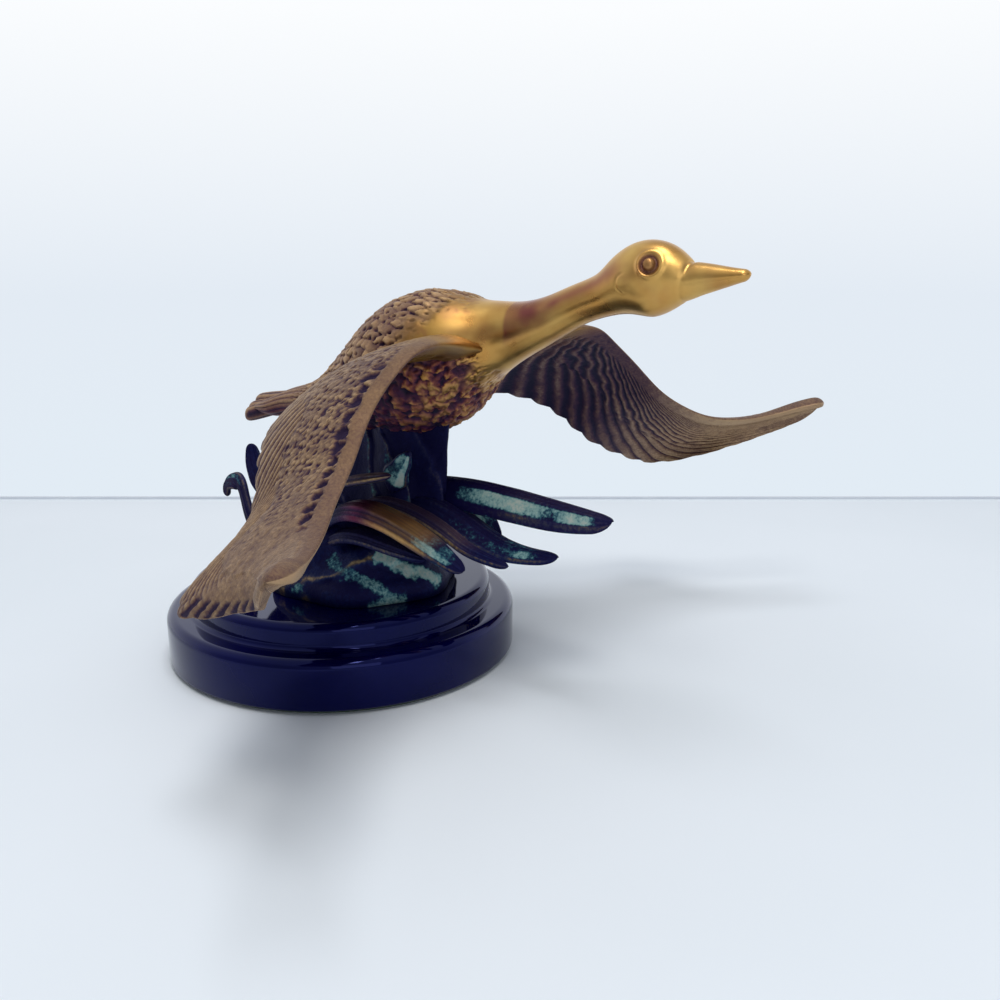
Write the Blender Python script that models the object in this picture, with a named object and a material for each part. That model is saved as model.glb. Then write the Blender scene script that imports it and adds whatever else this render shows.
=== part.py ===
# Bronze goose in flight over a clump of reeds, on a turned black base.
# The goose flies along +X with its left wing on +Y. The origin is the centre of the felt's
# underside, on the surface that the base stands on. Sizes are in millimetres times MM.

import math

import bmesh
import bpy
import numpy as np

MM = 0.001
GAP = 0.3 * MM  # clearance at every joint between two pieces

# Felt and turned base
FELT_THICKNESS = 1.2 * MM
FELT_INSET = 2.0 * MM
BASE_RADIUS = 57.5 * MM
BASE_HEIGHT = 23.6 * MM
STEP_HEIGHT = 7.8 * MM
FOOT_ROUNDING = 3.0 * MM
STEP_SETBACK = 8.1 * MM
STEP_ROUNDING = 2.6 * MM
COVE_WIDTH = 1.6 * MM
FOOT_CHAMFER = 0.9 * MM

# Fixings under the base
STUD_DIAMETER = 6.0 * MM
STUD_BITE = 15.0 * MM
NUT_ACROSS_FLATS = 10.0 * MM
NUT_HEIGHT = 5.0 * MM
WASHER_DIAMETER = 16.0 * MM
WASHER_THICKNESS = 1.6 * MM
COUNTERBORE_DIAMETER = 20.0 * MM
COUNTERBORE_SPARE = 2.4 * MM
STUD_FOOT = 1.0 * MM
DOWEL_DIAMETER = 4.0 * MM
DOWEL_BITE = 7.0 * MM
DOWEL_SPACING = 17.0 * MM
PIN_CHAMFER = 0.4 * MM

# Mound and reeds
MOUND_RADIUS = 31.5 * MM
MOUND_HEIGHT = 25.0 * MM
MOUND_FORWARD = 7.0 * MM
MOUND_LEFT = 2.0 * MM
MOUND_KERB = 3.0 * MM
MOUND_RIB_HEIGHT = 1.8 * MM
MOUND_RIBS = 7
STALK_LENGTH = 39.0 * MM
STALK_WIDTH = 17.0 * MM
STALK_SETBACK = 8.5 * MM
STALK_LEAN_BACK = 1.0 * MM
STALK_LEAN_RIGHT = 4.0 * MM
REED_THICKNESS = 2.6 * MM

# Goose body: the belly pin's line is BODY_FORWARD from the origin and BODY_LEFT of it
BODY_FORWARD = 28.0 * MM
BODY_LEFT = 12.0 * MM
BODY_LIFT = 95.5 * MM
BODY_LENGTH = 88.0 * MM
BELLY_PLACE = 0.64
BODY_HEIGHT = 48.0 * MM
BODY_WIDTH = 51.0 * MM
BODY_PITCH = math.radians(11.0)
RUMP_DROP = 0.36
SHOULDER_RISE = 1.0 * MM
FEATHER_ROW = 5.4 * MM
FEATHER_COLUMNS = 24
FEATHER_DEPTH = 0.9 * MM
FEATHER_POINT = 2.6 * MM
FEATHER_DROP = 0.5 * MM
BREAST_PLACE = 0.26  # where the feathers end, forward of the belly pin as a share of the length
BREAST_SWEEP = 0.14
TAIL_LENGTH = 26.0 * MM
TAIL_DROOP = 3.6 * MM
TAIL_WIDTH = 25.0 * MM
TAIL_THICKNESS = 7.0 * MM
TAIL_FEATHERS = 5
TAIL_FEATHER_WIDTH = 8.6 * MM
TAIL_FEATHER_THICKNESS = 4.0 * MM
TAIL_STAGGER = 0.9 * MM
TAIL_FAN = math.radians(38.0)
BELLY_PIN_DIAMETER = 5.0 * MM
BELLY_PIN_LENGTH = 34.0 * MM

# Neck and head
NECK_RADIUS = 9.6 * MM
NECK_WAIST_RADIUS = 5.9 * MM
HEAD_RADIUS = 9.2 * MM
HEAD_FORWARD = 46.0 * MM
HEAD_RISE = 21.5 * MM
BEAK_LENGTH = 16.5 * MM
BEAK_RISE = 1.6 * MM
HEAD_RINGS = 28
HEAD_SIDES = 20
EYE_RADIUS = 2.5 * MM
EYE_RING_WIDTH = 1.3 * MM
EYE_PLACE = 1.13
EYE_RISE = 0.39
NECK_PIN_DIAMETER = 5.0 * MM
NECK_PIN_LENGTH = 22.0 * MM

# Wings
WING_REACH = 130.0 * MM
WING_THICKNESS = 3.8 * MM
WING_ROOT_THICKNESS = 12.0 * MM
WING_ARCH = 4.5 * MM
WING_FEATHERS = 15
WING_GROOVE = 0.9 * MM
WING_STEP = 0.6 * MM
COVERT_SHARE = 0.58
COVERTS_START = 0.12
WING_PIN_DIAMETER = 3.0 * MM
WING_PIN_LENGTH = 17.0 * MM
WING_PIN_SETBACK = 5.0 * MM

base_top = FELT_THICKNESS + BASE_HEIGHT


def clear_scene():
    for old in list(bpy.data.objects):
        bpy.data.objects.remove(old, do_unlink=True)


def material(name, colour, roughness, metallic):
    finish = bpy.data.materials.new(name)
    finish.use_nodes = True
    shader = finish.node_tree.nodes["Principled BSDF"]
    shader.inputs["Base Color"].default_value = (*colour, 1.0)
    shader.inputs["Roughness"].default_value = roughness
    shader.inputs["Metallic"].default_value = metallic
    return finish


def add_mesh(name, points, faces, finish=None, smooth_angle=40.0):
    mesh = bpy.data.meshes.new(name)
    mesh.from_pydata([tuple(p) for p in points], [], [tuple(f) for f in faces])
    shell = bmesh.new()
    shell.from_mesh(mesh)
    if shell.calc_volume(signed=True) < 0:
        bmesh.ops.reverse_faces(shell, faces=shell.faces)
    shell.to_mesh(mesh)
    shell.free()
    mesh.shade_smooth()
    mesh.set_sharp_from_angle(angle=math.radians(smooth_angle))
    item = bpy.data.objects.new(name, mesh)
    bpy.context.scene.collection.objects.link(item)
    if finish:
        mesh.materials.append(finish)
    return item


def loft(name, rings, finish=None, smooth_angle=40.0, bored=False):
    # Rings of equally many points are joined in order. A fan closes each end, or, where the
    # piece is bored through, the last ring joins the first.
    rings = [np.asarray(ring) for ring in rings]
    count = len(rings[0])
    points = [p for ring in rings for p in ring]
    faces = []
    for r in range(len(rings) if bored else len(rings) - 1):
        for k in range(count):
            after = (k + 1) % count
            low, high = r * count, (r + 1) % len(rings) * count
            faces.append((low + k, low + after, high + after))
            faces.append((low + k, high + after, high + k))
    if bored:
        return add_mesh(name, points, faces, finish, smooth_angle)
    points += [rings[0].mean(axis=0), rings[-1].mean(axis=0)]
    first, last = len(points) - 2, len(points) - 1
    top = (len(rings) - 1) * count
    for k in range(count):
        after = (k + 1) % count
        faces.append((first, after, k))
        faces.append((last, top + k, top + after))
    return add_mesh(name, points, faces, finish, smooth_angle)


def natural_curve(rows, fractions):
    # A natural cubic through evenly numbered rows of values, read at fractions from 0 to 1.
    rows = np.array(rows, float)
    count = len(rows)
    system = np.eye(count)
    bends = np.zeros_like(rows)
    for i in range(1, count - 1):
        system[i, i - 1 : i + 2] = 1, 4, 1
        bends[i] = 6 * (rows[i + 1] - 2 * rows[i] + rows[i - 1])
    bends = np.linalg.solve(system, bends)
    places = np.asarray(fractions, float) * (count - 1)
    i = np.clip(places.astype(int), 0, count - 2)
    t = (places - i)[:, None]
    u = 1 - t
    bent = (bends[i] * (u**3 - u) + bends[i + 1] * (t**3 - t)) / 6
    return rows[i] * u + rows[i + 1] * t + bent


def unit(vector):
    vector = np.asarray(vector, float)
    return vector / np.linalg.norm(vector)


def turned(name, profile, segments=48, finish=None, bored=False):
    # The profile is (radius, height) pairs, from the bottom up or right round the section.
    angles = np.linspace(0, 2 * math.pi, segments, endpoint=False)
    circle = np.column_stack([np.cos(angles), np.sin(angles), np.zeros(segments)])
    rings = [circle * radius + (0, 0, height) for radius, height in profile]
    return loft(name, rings, finish, bored=bored)


def rod(name, start, end, radius, finish=None, segments=20, chamfer=PIN_CHAMFER):
    # A round bar between two points, with chamfered ends.
    start, end = np.array(start, float), np.array(end, float)
    length = np.linalg.norm(end - start)
    along = (end - start) / length
    side = np.cross(along, (0, 1, 0) if abs(along[1]) < 0.9 else (1, 0, 0))
    side /= np.linalg.norm(side)
    other = np.cross(along, side)
    angles = np.linspace(0, 2 * math.pi, segments, endpoint=False)[:, None]
    circle = np.cos(angles) * side + np.sin(angles) * other
    stops = [(0, radius - chamfer), (chamfer, radius)]
    stops += [(length - chamfer, radius), (length, radius - chamfer)]
    rings = [start + along * s + circle * r for s, r in stops]
    return loft(name, rings, finish)


def cut(item, cutter):
    cutter.hide_render = True
    cutter.display_type = "WIRE"
    trim = item.modifiers.new("cut by " + cutter.name, "BOOLEAN")
    trim.operation = "DIFFERENCE"
    trim.object = cutter
    return item


def fuse(item, other):
    other.hide_render = True
    other.display_type = "WIRE"
    join = item.modifiers.new("joined to " + other.name, "BOOLEAN")
    join.operation = "UNION"
    join.object = other
    return item


def pin(name, start, end, diameter, hosts, finish):
    # A plain pin, and a hole for it with GAP all round in each piece that it enters.
    start, end = np.array(start, float), np.array(end, float)
    along = unit(end - start)
    mouth, floor = start - along * GAP, end + along * GAP
    hole = rod(name + " hole", mouth, floor, diameter / 2 + GAP, chamfer=0.01 * MM)
    for host in hosts:
        cut(host, hole)
    return rod(name, start, end, diameter / 2, finish)


# Felt, base and its fixings


def felt_pad(finish):
    radius = BASE_RADIUS - FELT_INSET
    bevel = FELT_THICKNESS / 4
    profile = [(radius, 0), (radius, FELT_THICKNESS - bevel), (radius - bevel, FELT_THICKNESS - GAP / 3)]
    return turned("felt_pad", profile, segments=48, finish=finish)


def base_plinth(finish):
    foot_top = base_top - STEP_HEIGHT
    step_radius = BASE_RADIUS - STEP_SETBACK
    roof = counterbore_roof()
    bore = COUNTERBORE_DIAMETER / 2
    hole = STUD_DIAMETER / 2 + GAP
    profile = [(hole, base_top), (hole, roof), (bore, roof), (bore, FELT_THICKNESS)]
    profile += [(BASE_RADIUS - FOOT_CHAMFER, FELT_THICKNESS), (BASE_RADIUS, FELT_THICKNESS + FOOT_CHAMFER)]
    for turn in (0, 30, 60, 90):
        angle = math.radians(turn)
        radius = BASE_RADIUS - FOOT_ROUNDING * (1 - math.cos(angle))
        profile.append((radius, foot_top - FOOT_ROUNDING * (1 - math.sin(angle))))
    cove = step_radius + COVE_WIDTH
    profile += [(cove, foot_top + COVE_WIDTH / 4), (step_radius + COVE_WIDTH / 4, foot_top + COVE_WIDTH)]
    for turn in (0, 30, 60, 90):
        angle = math.radians(turn)
        radius = step_radius - STEP_ROUNDING * (1 - math.cos(angle))
        profile.append((radius, base_top - STEP_ROUNDING * (1 - math.sin(angle))))
    return turned("base_plinth", profile, segments=48, finish=finish, bored=True)


def counterbore_roof():
    return FELT_THICKNESS + NUT_HEIGHT + WASHER_THICKNESS + COUNTERBORE_SPARE


def base_fixings(plinth, mound, steel):
    washer_top = counterbore_roof() - GAP
    washer_foot = washer_top - WASHER_THICKNESS
    nut_top = washer_foot - GAP
    nut_foot = nut_top - NUT_HEIGHT
    bore = STUD_DIAMETER / 2 + GAP
    radius = WASHER_DIAMETER / 2
    section = [(bore, washer_top), (bore, washer_foot), (radius, washer_foot), (radius, washer_top)]
    turned("base_washer", section, segments=32, finish=steel, bored=True)
    angles = np.linspace(0, 2 * math.pi, 24, endpoint=False)
    flats = NUT_ACROSS_FLATS / 2 / np.cos((angles + math.pi / 6) % (math.pi / 3) - math.pi / 6)
    rings = []
    for radius, height in ((bore, nut_top), (bore, nut_foot), (flats, nut_foot), (flats, nut_top)):
        level = np.full(len(angles), height)
        rings.append(np.column_stack([radius * np.cos(angles), radius * np.sin(angles), level]))
    loft("base_nut", rings, steel, bored=True)
    stud_top = base_top + STUD_BITE
    tapped = turned("tapped hole", [(bore, base_top), (bore, stud_top + GAP)], segments=24)
    cut(mound, tapped)
    rod("base_stud", (0, 0, nut_foot - STUD_FOOT), (0, 0, stud_top), STUD_DIAMETER / 2, steel, segments=24)
    foot = (DOWEL_SPACING, 0, base_top - DOWEL_BITE)
    top = (DOWEL_SPACING, 0, base_top + DOWEL_BITE)
    pin("locating_dowel", foot, top, DOWEL_DIAMETER, [plinth, mound], steel)


# Mound, stalk and reeds


def mound_rings(grow):
    # The mound as rings from its foot inwards, grown outwards by a clearance.
    segments = 6 * MOUND_RIBS
    angles = np.linspace(0, 2 * math.pi, segments, endpoint=False)
    outline = 1 + 0.05 * np.cos(2 * angles + 0.6) + 0.03 * np.cos(MOUND_RIBS * angles)
    foot = base_top + GAP - grow
    rings = []
    for reach in (1.0, 1.0, 0.95, 0.87, 0.76, 0.62, 0.46, 0.28, 0.1):
        radius = (MOUND_RADIUS * outline + grow) * reach
        rise = MOUND_KERB + (MOUND_HEIGHT - MOUND_KERB) * (1 - reach**2.2) ** 0.7
        swirl = np.sin(MOUND_RIBS * (angles + 1.1 * reach))
        ribs = MOUND_RIB_HEIGHT * swirl * 4 * reach * (1 - reach) * (1 - (1 - reach) ** 4)
        height = foot + rise + ribs + 2.6 * grow if rings else np.full(segments, foot)
        x = MOUND_FORWARD + radius * np.cos(angles)
        y = MOUND_LEFT + radius * np.sin(angles)
        rings.append(np.column_stack([x, y, height]))
    return rings


def stalk_rings():
    # The thick stems that rise together from the mound to the belly.
    segments = 24
    angles = np.linspace(0, 2 * math.pi, segments, endpoint=False)
    foot = base_top + MOUND_HEIGHT * 0.5
    top = BODY_LIFT
    rings = []
    for rise in np.linspace(0, 1, 9):
        waist = 1 + 0.55 * (1 - rise) ** 2 + 0.12 * rise
        lobes = 1 + 0.13 * np.cos(5 * angles + 1.5 * rise)
        x = BODY_FORWARD - STALK_SETBACK - STALK_LEAN_BACK * (1 - rise)
        x = x + STALK_LENGTH / 2 * lobes * np.cos(angles)
        y = BODY_LEFT - STALK_LEAN_RIGHT * (1 - rise)
        y = y + STALK_WIDTH / 2 * waist * lobes * np.sin(angles)
        rings.append(np.column_stack([x, y, np.full(segments, foot + (top - foot) * rise)]))
    return rings


# Each reed's way from its root to its tip, from the mound's centre at the top of the base, as
# shares of the mound's radius (forward, left) and height (up). Then its greatest width,
# how far its edges drop below the midrib, and where its face looks.
REEDS = {
    "reed_forward_long": dict(
        way=[(0.54, 0.29, 1.36), (1.27, 0.35, 1.40), (2.06, 0.41, 1.32), (2.83, 0.44, 1.24)],
        width=15 * MM,
        fold=0.75,
        face=(0, -0.35, 1),
    ),
    "reed_forward_broad": dict(
        way=[
            (0.16, 0.10, 0.76), (0.60, 0.10, 1.16), (1.17, 0.13, 1.10),
            (1.75, 0.16, 0.80), (2.41, 0.19, 0.78),
        ],
        width=12 * MM,
        fold=0.4,
        face=(0, -0.3, 1),
    ),
    "reed_forward_slim": dict(
        way=[
            (0.10, -0.29, 0.68), (0.48, -0.25, 1.18), (1.21, -0.22, 1.08),
            (1.68, -0.22, 0.84), (2.13, -0.19, 0.72),
        ],
        width=6 * MM,
        fold=0.3,
        face=(0, -0.3, 1),
    ),
    "reed_near_arched": dict(
        way=[
            (-0.16, -0.44, 0.64), (0.32, -0.54, 1.12), (0.86, -0.54, 1.18),
            (1.43, -0.52, 0.96), (1.87, -0.51, 0.70),
        ],
        width=10 * MM,
        fold=0.4,
        face=(0, -0.5, 1),
    ),
    "reed_near_low": dict(
        way=[(-0.10, -0.51, 0.48), (0.38, -0.56, 0.82), (0.86, -0.54, 0.82), (1.43, -0.54, 0.74)],
        width=7 * MM,
        fold=0.3,
        face=(0, -0.5, 1),
    ),
    "reed_drooping": dict(
        way=[(0.35, 0.51, 0.80), (0.73, 0.76, 1.12), (0.98, 0.83, 0.88), (1.21, 0.84, 0.52)],
        width=8 * MM,
        fold=0.3,
        face=(0.3, -0.6, 1),
    ),
    "leaf_under_belly": dict(
        way=[(0.60, -0.10, 1.32), (0.70, -0.19, 1.48), (0.83, -0.22, 1.68), (0.95, -0.21, 1.88)],
        width=9 * MM,
        fold=0.3,
        face=(0.5, -1, 0.2),
    ),
    "sprig_near": dict(
        way=[(-0.10, -0.25, 0.80), (0.03, -0.38, 1.24), (0.41, -0.44, 1.48), (0.86, -0.38, 1.60)],
        width=5 * MM,
        fold=0.2,
        face=(0, -0.5, 1),
    ),
    "reed_rear_upright": dict(
        way=[(-0.60, -0.13, 0.32), (-1.08, -0.25, 0.88), (-1.27, -0.32, 1.28), (-1.33, -0.32, 1.64)],
        width=8 * MM,
        fold=0.3,
        face=(0.6, -1, 0.2),
    ),
    "reed_rear_curled": dict(
        way=[
            (-0.60, -0.25, 0.24), (-1.24, -0.32, 0.36), (-1.49, -0.32, 0.76),
            (-1.59, -0.32, 1.04), (-1.78, -0.32, 1.00), (-1.81, -0.32, 0.80),
        ],
        width=7 * MM,
        fold=0.2,
        face=(-0.4, -1, 0.3),
    ),
    "reed_far_arched": dict(
        way=[(-0.22, 0.38, 0.64), (-0.35, 0.76, 1.04), (-0.60, 1.14, 1.12), (-0.86, 1.46, 0.84)],
        width=11 * MM,
        fold=0.4,
        face=(0, 0.3, 1),
    ),
    "reed_far_broad": dict(
        way=[(0.03, 0.51, 0.64), (0.03, 0.95, 1.04), (-0.06, 1.33, 1.00), (-0.22, 1.71, 0.68)],
        width=11 * MM,
        fold=0.4,
        face=(0, 0.3, 1),
    ),
    "reed_far_low": dict(
        way=[(-0.41, 0.19, 0.56), (-0.92, 0.32, 0.88), (-1.30, 0.51, 0.88), (-1.62, 0.76, 0.56)],
        width=9 * MM,
        fold=0.4,
        face=(0, 0.2, 1),
    ),
    "reed_rear_long": dict(
        way=[(-0.22, -0.13, 0.72), (-0.67, 0.00, 1.20), (-1.05, 0.10, 1.40), (-1.43, 0.16, 1.44)],
        width=8 * MM,
        fold=0.4,
        face=(-0.3, 0, 1),
    ),
}


def reed_rings(shape, grow):
    stations = 11
    start = np.array([MOUND_FORWARD, MOUND_LEFT, base_top])
    fractions = np.linspace(0, 1, stations)
    way = start + natural_curve(shape["way"], fractions) * (MOUND_RADIUS, MOUND_RADIUS, MOUND_HEIGHT)
    swell = natural_curve([[0.42], [0.86], [1.0], [0.94], [0.72], [0.16]], fractions)[:, 0]
    face = unit(shape["face"])
    rings = []
    for i, (centre, full) in enumerate(zip(way, swell)):
        along = unit(way[min(i + 1, stations - 1)] - way[max(i - 1, 0)])
        side = unit(np.cross(along, face))
        up = np.cross(side, along)
        half = shape["width"] / 2 * full
        ring = []
        for v in (-1, -0.4, 0.4, 1):
            thick = REED_THICKNESS / 2 * (1 - 0.5 * v * v) + grow
            drop = shape["fold"] * half * v * v
            ring.append(centre + side * (half + grow) * v + up * (thick - drop))
        for v in (1, 0.4, -0.4, -1):
            thick = REED_THICKNESS / 2 * (1 - 0.5 * v * v) + grow
            drop = shape["fold"] * half * v * v
            ring.append(centre + side * (half + grow) * v - up * (thick + drop))
        rings.append(np.array(ring))
    return rings


# Goose: one spine from tail to beak gives the body, the neck and the head

# Place along the body, rise of its middle, half height and half width as shares of its sizes
BODY_STATIONS = [
    (0.0, -0.34, 0.22, 0.44),
    (0.16, -0.30, 0.35, 0.52),
    (0.38, -0.18, 0.63, 0.73),
    (0.60, -0.025, 0.90, 0.92),
    (0.78, 0.12, 0.82, 0.85),
    (0.91, 0.19, 0.55, 0.62),
]


# Place from the neck's joint to the head, rise, and radius as a share of the neck's or its waist's
NECK_STATIONS = [(0.02, 0.20, 1.02), (0.2, 0.31, 0.80)]
WAIST_STATIONS = [(0.4, 0.47, 1.06), (0.58, 0.64, 0.97), (0.76, 0.775, 1.04)]

# The same with half height and half width, and for the beak the place along its own length
HEAD_STATIONS = [(0.9, 0.905, 0.90, 0.80), (1.05, 1, 1.03, 0.9), (1.19, 1.0, 0.84, 0.76)]
BEAK_STATIONS = [(0, 0.56, 0.54), (0.16, 0.47, 0.43), (0.5, 0.33, 0.34), (0.82, 0.2, 0.25), (1, 0.09, 0.12)]


def goose_spine():
    # Rows of forward, up, half height and half width, from the tail's tip to the beak's tip.
    slope = math.tan(BODY_PITCH)
    rump = BODY_FORWARD - BELLY_PLACE * BODY_LENGTH
    rump_up = BODY_LIFT - RUMP_DROP * BODY_HEIGHT
    rows = []
    for back, thick, wide in ((0.7, 0.3, 0.74), (0.52, 0.46, 0.92), (0.28, 0.66, 1.0)):
        rows.append((
            rump - back * TAIL_LENGTH,
            rump_up - back * TAIL_DROOP,
            thick * TAIL_THICKNESS,
            wide * TAIL_WIDTH / 2,
        ))
    for place, rise, high, wide in BODY_STATIONS:
        forward = rump + place * BODY_LENGTH
        up = BODY_LIFT + rise * BODY_HEIGHT
        rows.append((forward, up, high * BODY_HEIGHT / 2, wide * BODY_WIDTH / 2))
    joint = joint_forward()
    shoulder = BODY_LIFT + slope * (joint - BODY_FORWARD) + SHOULDER_RISE
    for place, rise, size in NECK_STATIONS:
        forward = joint + place * HEAD_FORWARD
        rows.append((forward, shoulder + rise * HEAD_RISE, size * NECK_RADIUS, size * NECK_RADIUS))
    for place, rise, size in WAIST_STATIONS:
        forward = joint + place * HEAD_FORWARD
        radius = size * NECK_WAIST_RADIUS
        rows.append((forward, shoulder + rise * HEAD_RISE, radius, 0.97 * radius))
    for place, rise, high, wide in HEAD_STATIONS:
        forward = joint + place * HEAD_FORWARD
        rows.append((forward, shoulder + rise * HEAD_RISE, high * HEAD_RADIUS, wide * HEAD_RADIUS))
    face = joint + 1.29 * HEAD_FORWARD
    brow = shoulder + 0.975 * HEAD_RISE
    for place, high, wide in BEAK_STATIONS:
        forward = face + place * BEAK_LENGTH
        rows.append((forward, brow + place * BEAK_RISE, high * HEAD_RADIUS, wide * HEAD_RADIUS))
    return rows


def joint_forward():
    # Where the neck's casting meets the body's.
    return BODY_FORWARD + (1 - BELLY_PLACE) * BODY_LENGTH


def spine_at(forwards):
    # Height, half height, half width and slope of the goose at forward places.
    rows = natural_curve(goose_spine(), np.linspace(0, 1, 801))
    slopes = np.gradient(rows[:, 1]) / np.gradient(rows[:, 0])
    values = (*rows.T[1:], slopes)
    return [np.interp(forwards, rows[:, 0], value) for value in values]


def spine_ring(forwards, angles, grow):
    # An ellipse square to the spine, grown outwards by a clearance. Its points may stand at
    # different places along the spine.
    up, high, wide, slope = spine_at(forwards)
    lean = np.arctan(slope)
    rise = (high + grow) * np.sin(angles)
    y = BODY_LEFT + (wide + grow) * np.cos(angles)
    return np.column_stack([forwards - rise * np.sin(lean), y, up + rise * np.cos(lean)])


def tail_feather(number):
    # One rounded feather of the tail's fan, from inside the rump to its tip.
    turn = TAIL_FAN * (number / (TAIL_FEATHERS - 1) - 0.5)
    rows = goose_spine()
    root = np.array([rows[3][0], BODY_LEFT, rows[3][1]])
    length = TAIL_LENGTH * math.cos(turn)
    angles = np.linspace(0, 2 * math.pi, 10, endpoint=False)
    rings = []
    for reach in (-0.1, 0.35, 0.65, 0.85, 0.96, 1.0):
        swell = math.sqrt(max(0.0, 1 - max(0.0, (reach - 0.55) / 0.45) ** 2)) * 0.92 + 0.08
        along = np.array([-math.cos(turn), math.sin(turn), 0]) * length * reach
        centre = root + along - (0, 0, TAIL_DROOP * reach)
        side = np.array([math.sin(turn), math.cos(turn), 0]) * TAIL_FEATHER_WIDTH / 2 * swell
        arch = TAIL_FEATHER_THICKNESS / 2 * swell
        lift = TAIL_STAGGER * (1 - 2 * (number % 2))
        ring = centre + np.outer(np.cos(angles), side)
        ring[:, 2] += arch * np.sin(angles) + lift
        rings.append(ring)
    return loft(f"tail feather {number + 1}", rings)


def body_rings(grow, depth):
    # The body's surface in rows of pointed feathers, each row over the next one behind it. A row
    # has one ring along its tips and one under them, both bent to and fro between tip and notch.
    # The feathers end at the polished breast, further forward underneath, and thin out at the tail.
    # With no depth it is the surface that their tips lie in.
    tail_tip, neck = goose_spine()[0][0], joint_forward() - GAP / 2
    sides = 2 * FEATHER_COLUMNS
    angles = np.linspace(0, 2 * math.pi, sides, endpoint=False)
    breast = BODY_FORWARD + (BREAST_PLACE - BREAST_SWEEP * np.sin(angles)) * BODY_LENGTH
    rows = max(2, round((neck - tail_tip) / FEATHER_ROW - 0.5))
    rings = [spine_ring(np.full(sides, tail_tip), angles, grow)]
    for row in range(rows):
        tips = tail_tip + (row + 0.7) * (neck - tail_tip) / (rows + 0.5)
        inside = np.clip((breast - tips) / (2 * FEATHER_ROW), 0, 1) * min(1.0, (row + 1) / 4)
        reach = FEATHER_POINT / 2 * (1 - 2 * ((np.arange(sides) + row) % 2)) * inside
        if depth:
            rings.append(spine_ring(tips + reach - FEATHER_DROP, angles, grow - depth * inside))
        rings.append(spine_ring(tips + reach, angles, grow))
    rings.append(spine_ring(np.full(sides, neck), angles, grow))
    return rings


def goose_body(finish):
    body = loft("goose_body", body_rings(0.0, FEATHER_DEPTH), finish, smooth_angle=30)
    for number in range(TAIL_FEATHERS):
        fuse(body, tail_feather(number))
    return body


def eye(name, outward):
    # A raised ring with a bead in it, turned about a line across the head.
    forward = joint_forward() + EYE_PLACE * HEAD_FORWARD
    up, high, wide = spine_at(forward)[:3]
    turn = math.asin(EYE_RISE)
    out_of_head = unit((0, outward * math.cos(turn) / wide, math.sin(turn) / high))
    across = np.array([0, -outward * out_of_head[2], outward * out_of_head[1]])
    seat = np.array([forward, BODY_LEFT + outward * wide * math.cos(turn), up + high * EYE_RISE])
    ring, bead = EYE_RADIUS + EYE_RING_WIDTH, EYE_RADIUS
    profile = [(ring, -1.28), (ring, -0.12), (0.9 * ring, 0.12), (bead, 0.08), (bead, -0.12)]
    profile += [(0.97 * bead, 0.2), (0.7 * bead, 0.44), (0.3 * bead, 0.54)]
    angles = np.linspace(0, 2 * math.pi, 14, endpoint=False)
    rings = []
    for radius, out in profile:
        circle = np.outer(np.cos(angles), (1, 0, 0)) + np.outer(np.sin(angles), across)
        rings.append(seat + out_of_head * out * bead + radius * circle)
    return loft(name, rings)


def head_and_neck(finish):
    angles = np.linspace(0, 2 * math.pi, HEAD_SIDES, endpoint=False)
    start, beak_tip = joint_forward() + GAP / 2, goose_spine()[-1][0]
    forwards = np.linspace(start, beak_tip, HEAD_RINGS)
    rings = [spine_ring(np.full(HEAD_SIDES, forward), angles, 0.0) for forward in forwards]
    head = loft("head_and_neck", rings, finish)
    fuse(head, eye("left eye", 1))
    fuse(head, eye("right eye", -1))
    return head


# Wings: pairs of points on the leading and trailing edges, from root to tip, as forward,
# outward and up from the belly pin's line, in shares of the wing's reach
WING_EDGES = [
    ((0.246, 0.070, 0.060), (-0.27, 0.062, -0.090)),
    ((0.254, 0.160, 0.077), (-0.26, 0.154, -0.098)),
    ((0.285, 0.292, 0.085), (-0.19, 0.285, -0.112)),
    ((0.292, 0.385, 0.046), (-0.08, 0.428, -0.130)),
    ((0.308, 0.477, -0.023), (0.012, 0.525, -0.183)),
    ((0.338, 0.554, -0.096), (0.069, 0.608, -0.265)),
    ((0.377, 0.635, -0.150), (0.100, 0.754, -0.335)),
    ((0.431, 0.715, -0.182), (0.177, 0.823, -0.358)),
    ((0.508, 0.812, -0.181), (0.354, 0.815, -0.304)),
    ((0.585, 0.892, -0.155), (0.492, 0.900, -0.242)),
    ((0.642, 0.965, -0.142), (0.592, 0.985, -0.188)),
]


def wing_surface(across, chord):
    # A point midway through the left wing's thickness, the way out of its upper face there
    # and the thickness, at shares of the way from root to tip and from front to back.
    edges = np.array(WING_EDGES).reshape(-1, 6) * WING_REACH
    near, here, after = natural_curve(edges, [max(across - 0.01, 0), across, min(across + 0.01, 1)])
    front, back = here[:3], here[3:]
    outward = unit((after - near)[:3] * (1 - chord) + (after - near)[3:] * chord)
    normal = unit(np.cross(unit(front - back), outward))
    arch = WING_ARCH * (1 - 0.6 * across) * 4 * chord * (1 - chord)
    feather = abs(math.sin(math.pi * across * WING_FEATHERS))
    fringe = 0.05 * chord**6 * (feather - 1)
    point = front + (back - front) * (chord + fringe) + normal * arch
    start = np.array([BODY_FORWARD, BODY_LEFT, BODY_LIFT])
    rooted = max(0.0, 1 - across / 0.3) ** 2
    thick = WING_THICKNESS + (WING_ROOT_THICKNESS - WING_THICKNESS) * rooted
    thick *= 1 - 0.4 * chord
    if chord > COVERT_SHARE:
        thick -= WING_STEP + WING_GROOVE * (1 - across * WING_FEATHERS % 1)
    else:
        overlap = 1 - (across * WING_FEATHERS + 0.5) % 1
        thick -= WING_GROOVE * overlap * min(1.0, max(0.0, 10 * (chord - COVERTS_START)))
    return start + point, normal, thick


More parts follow.
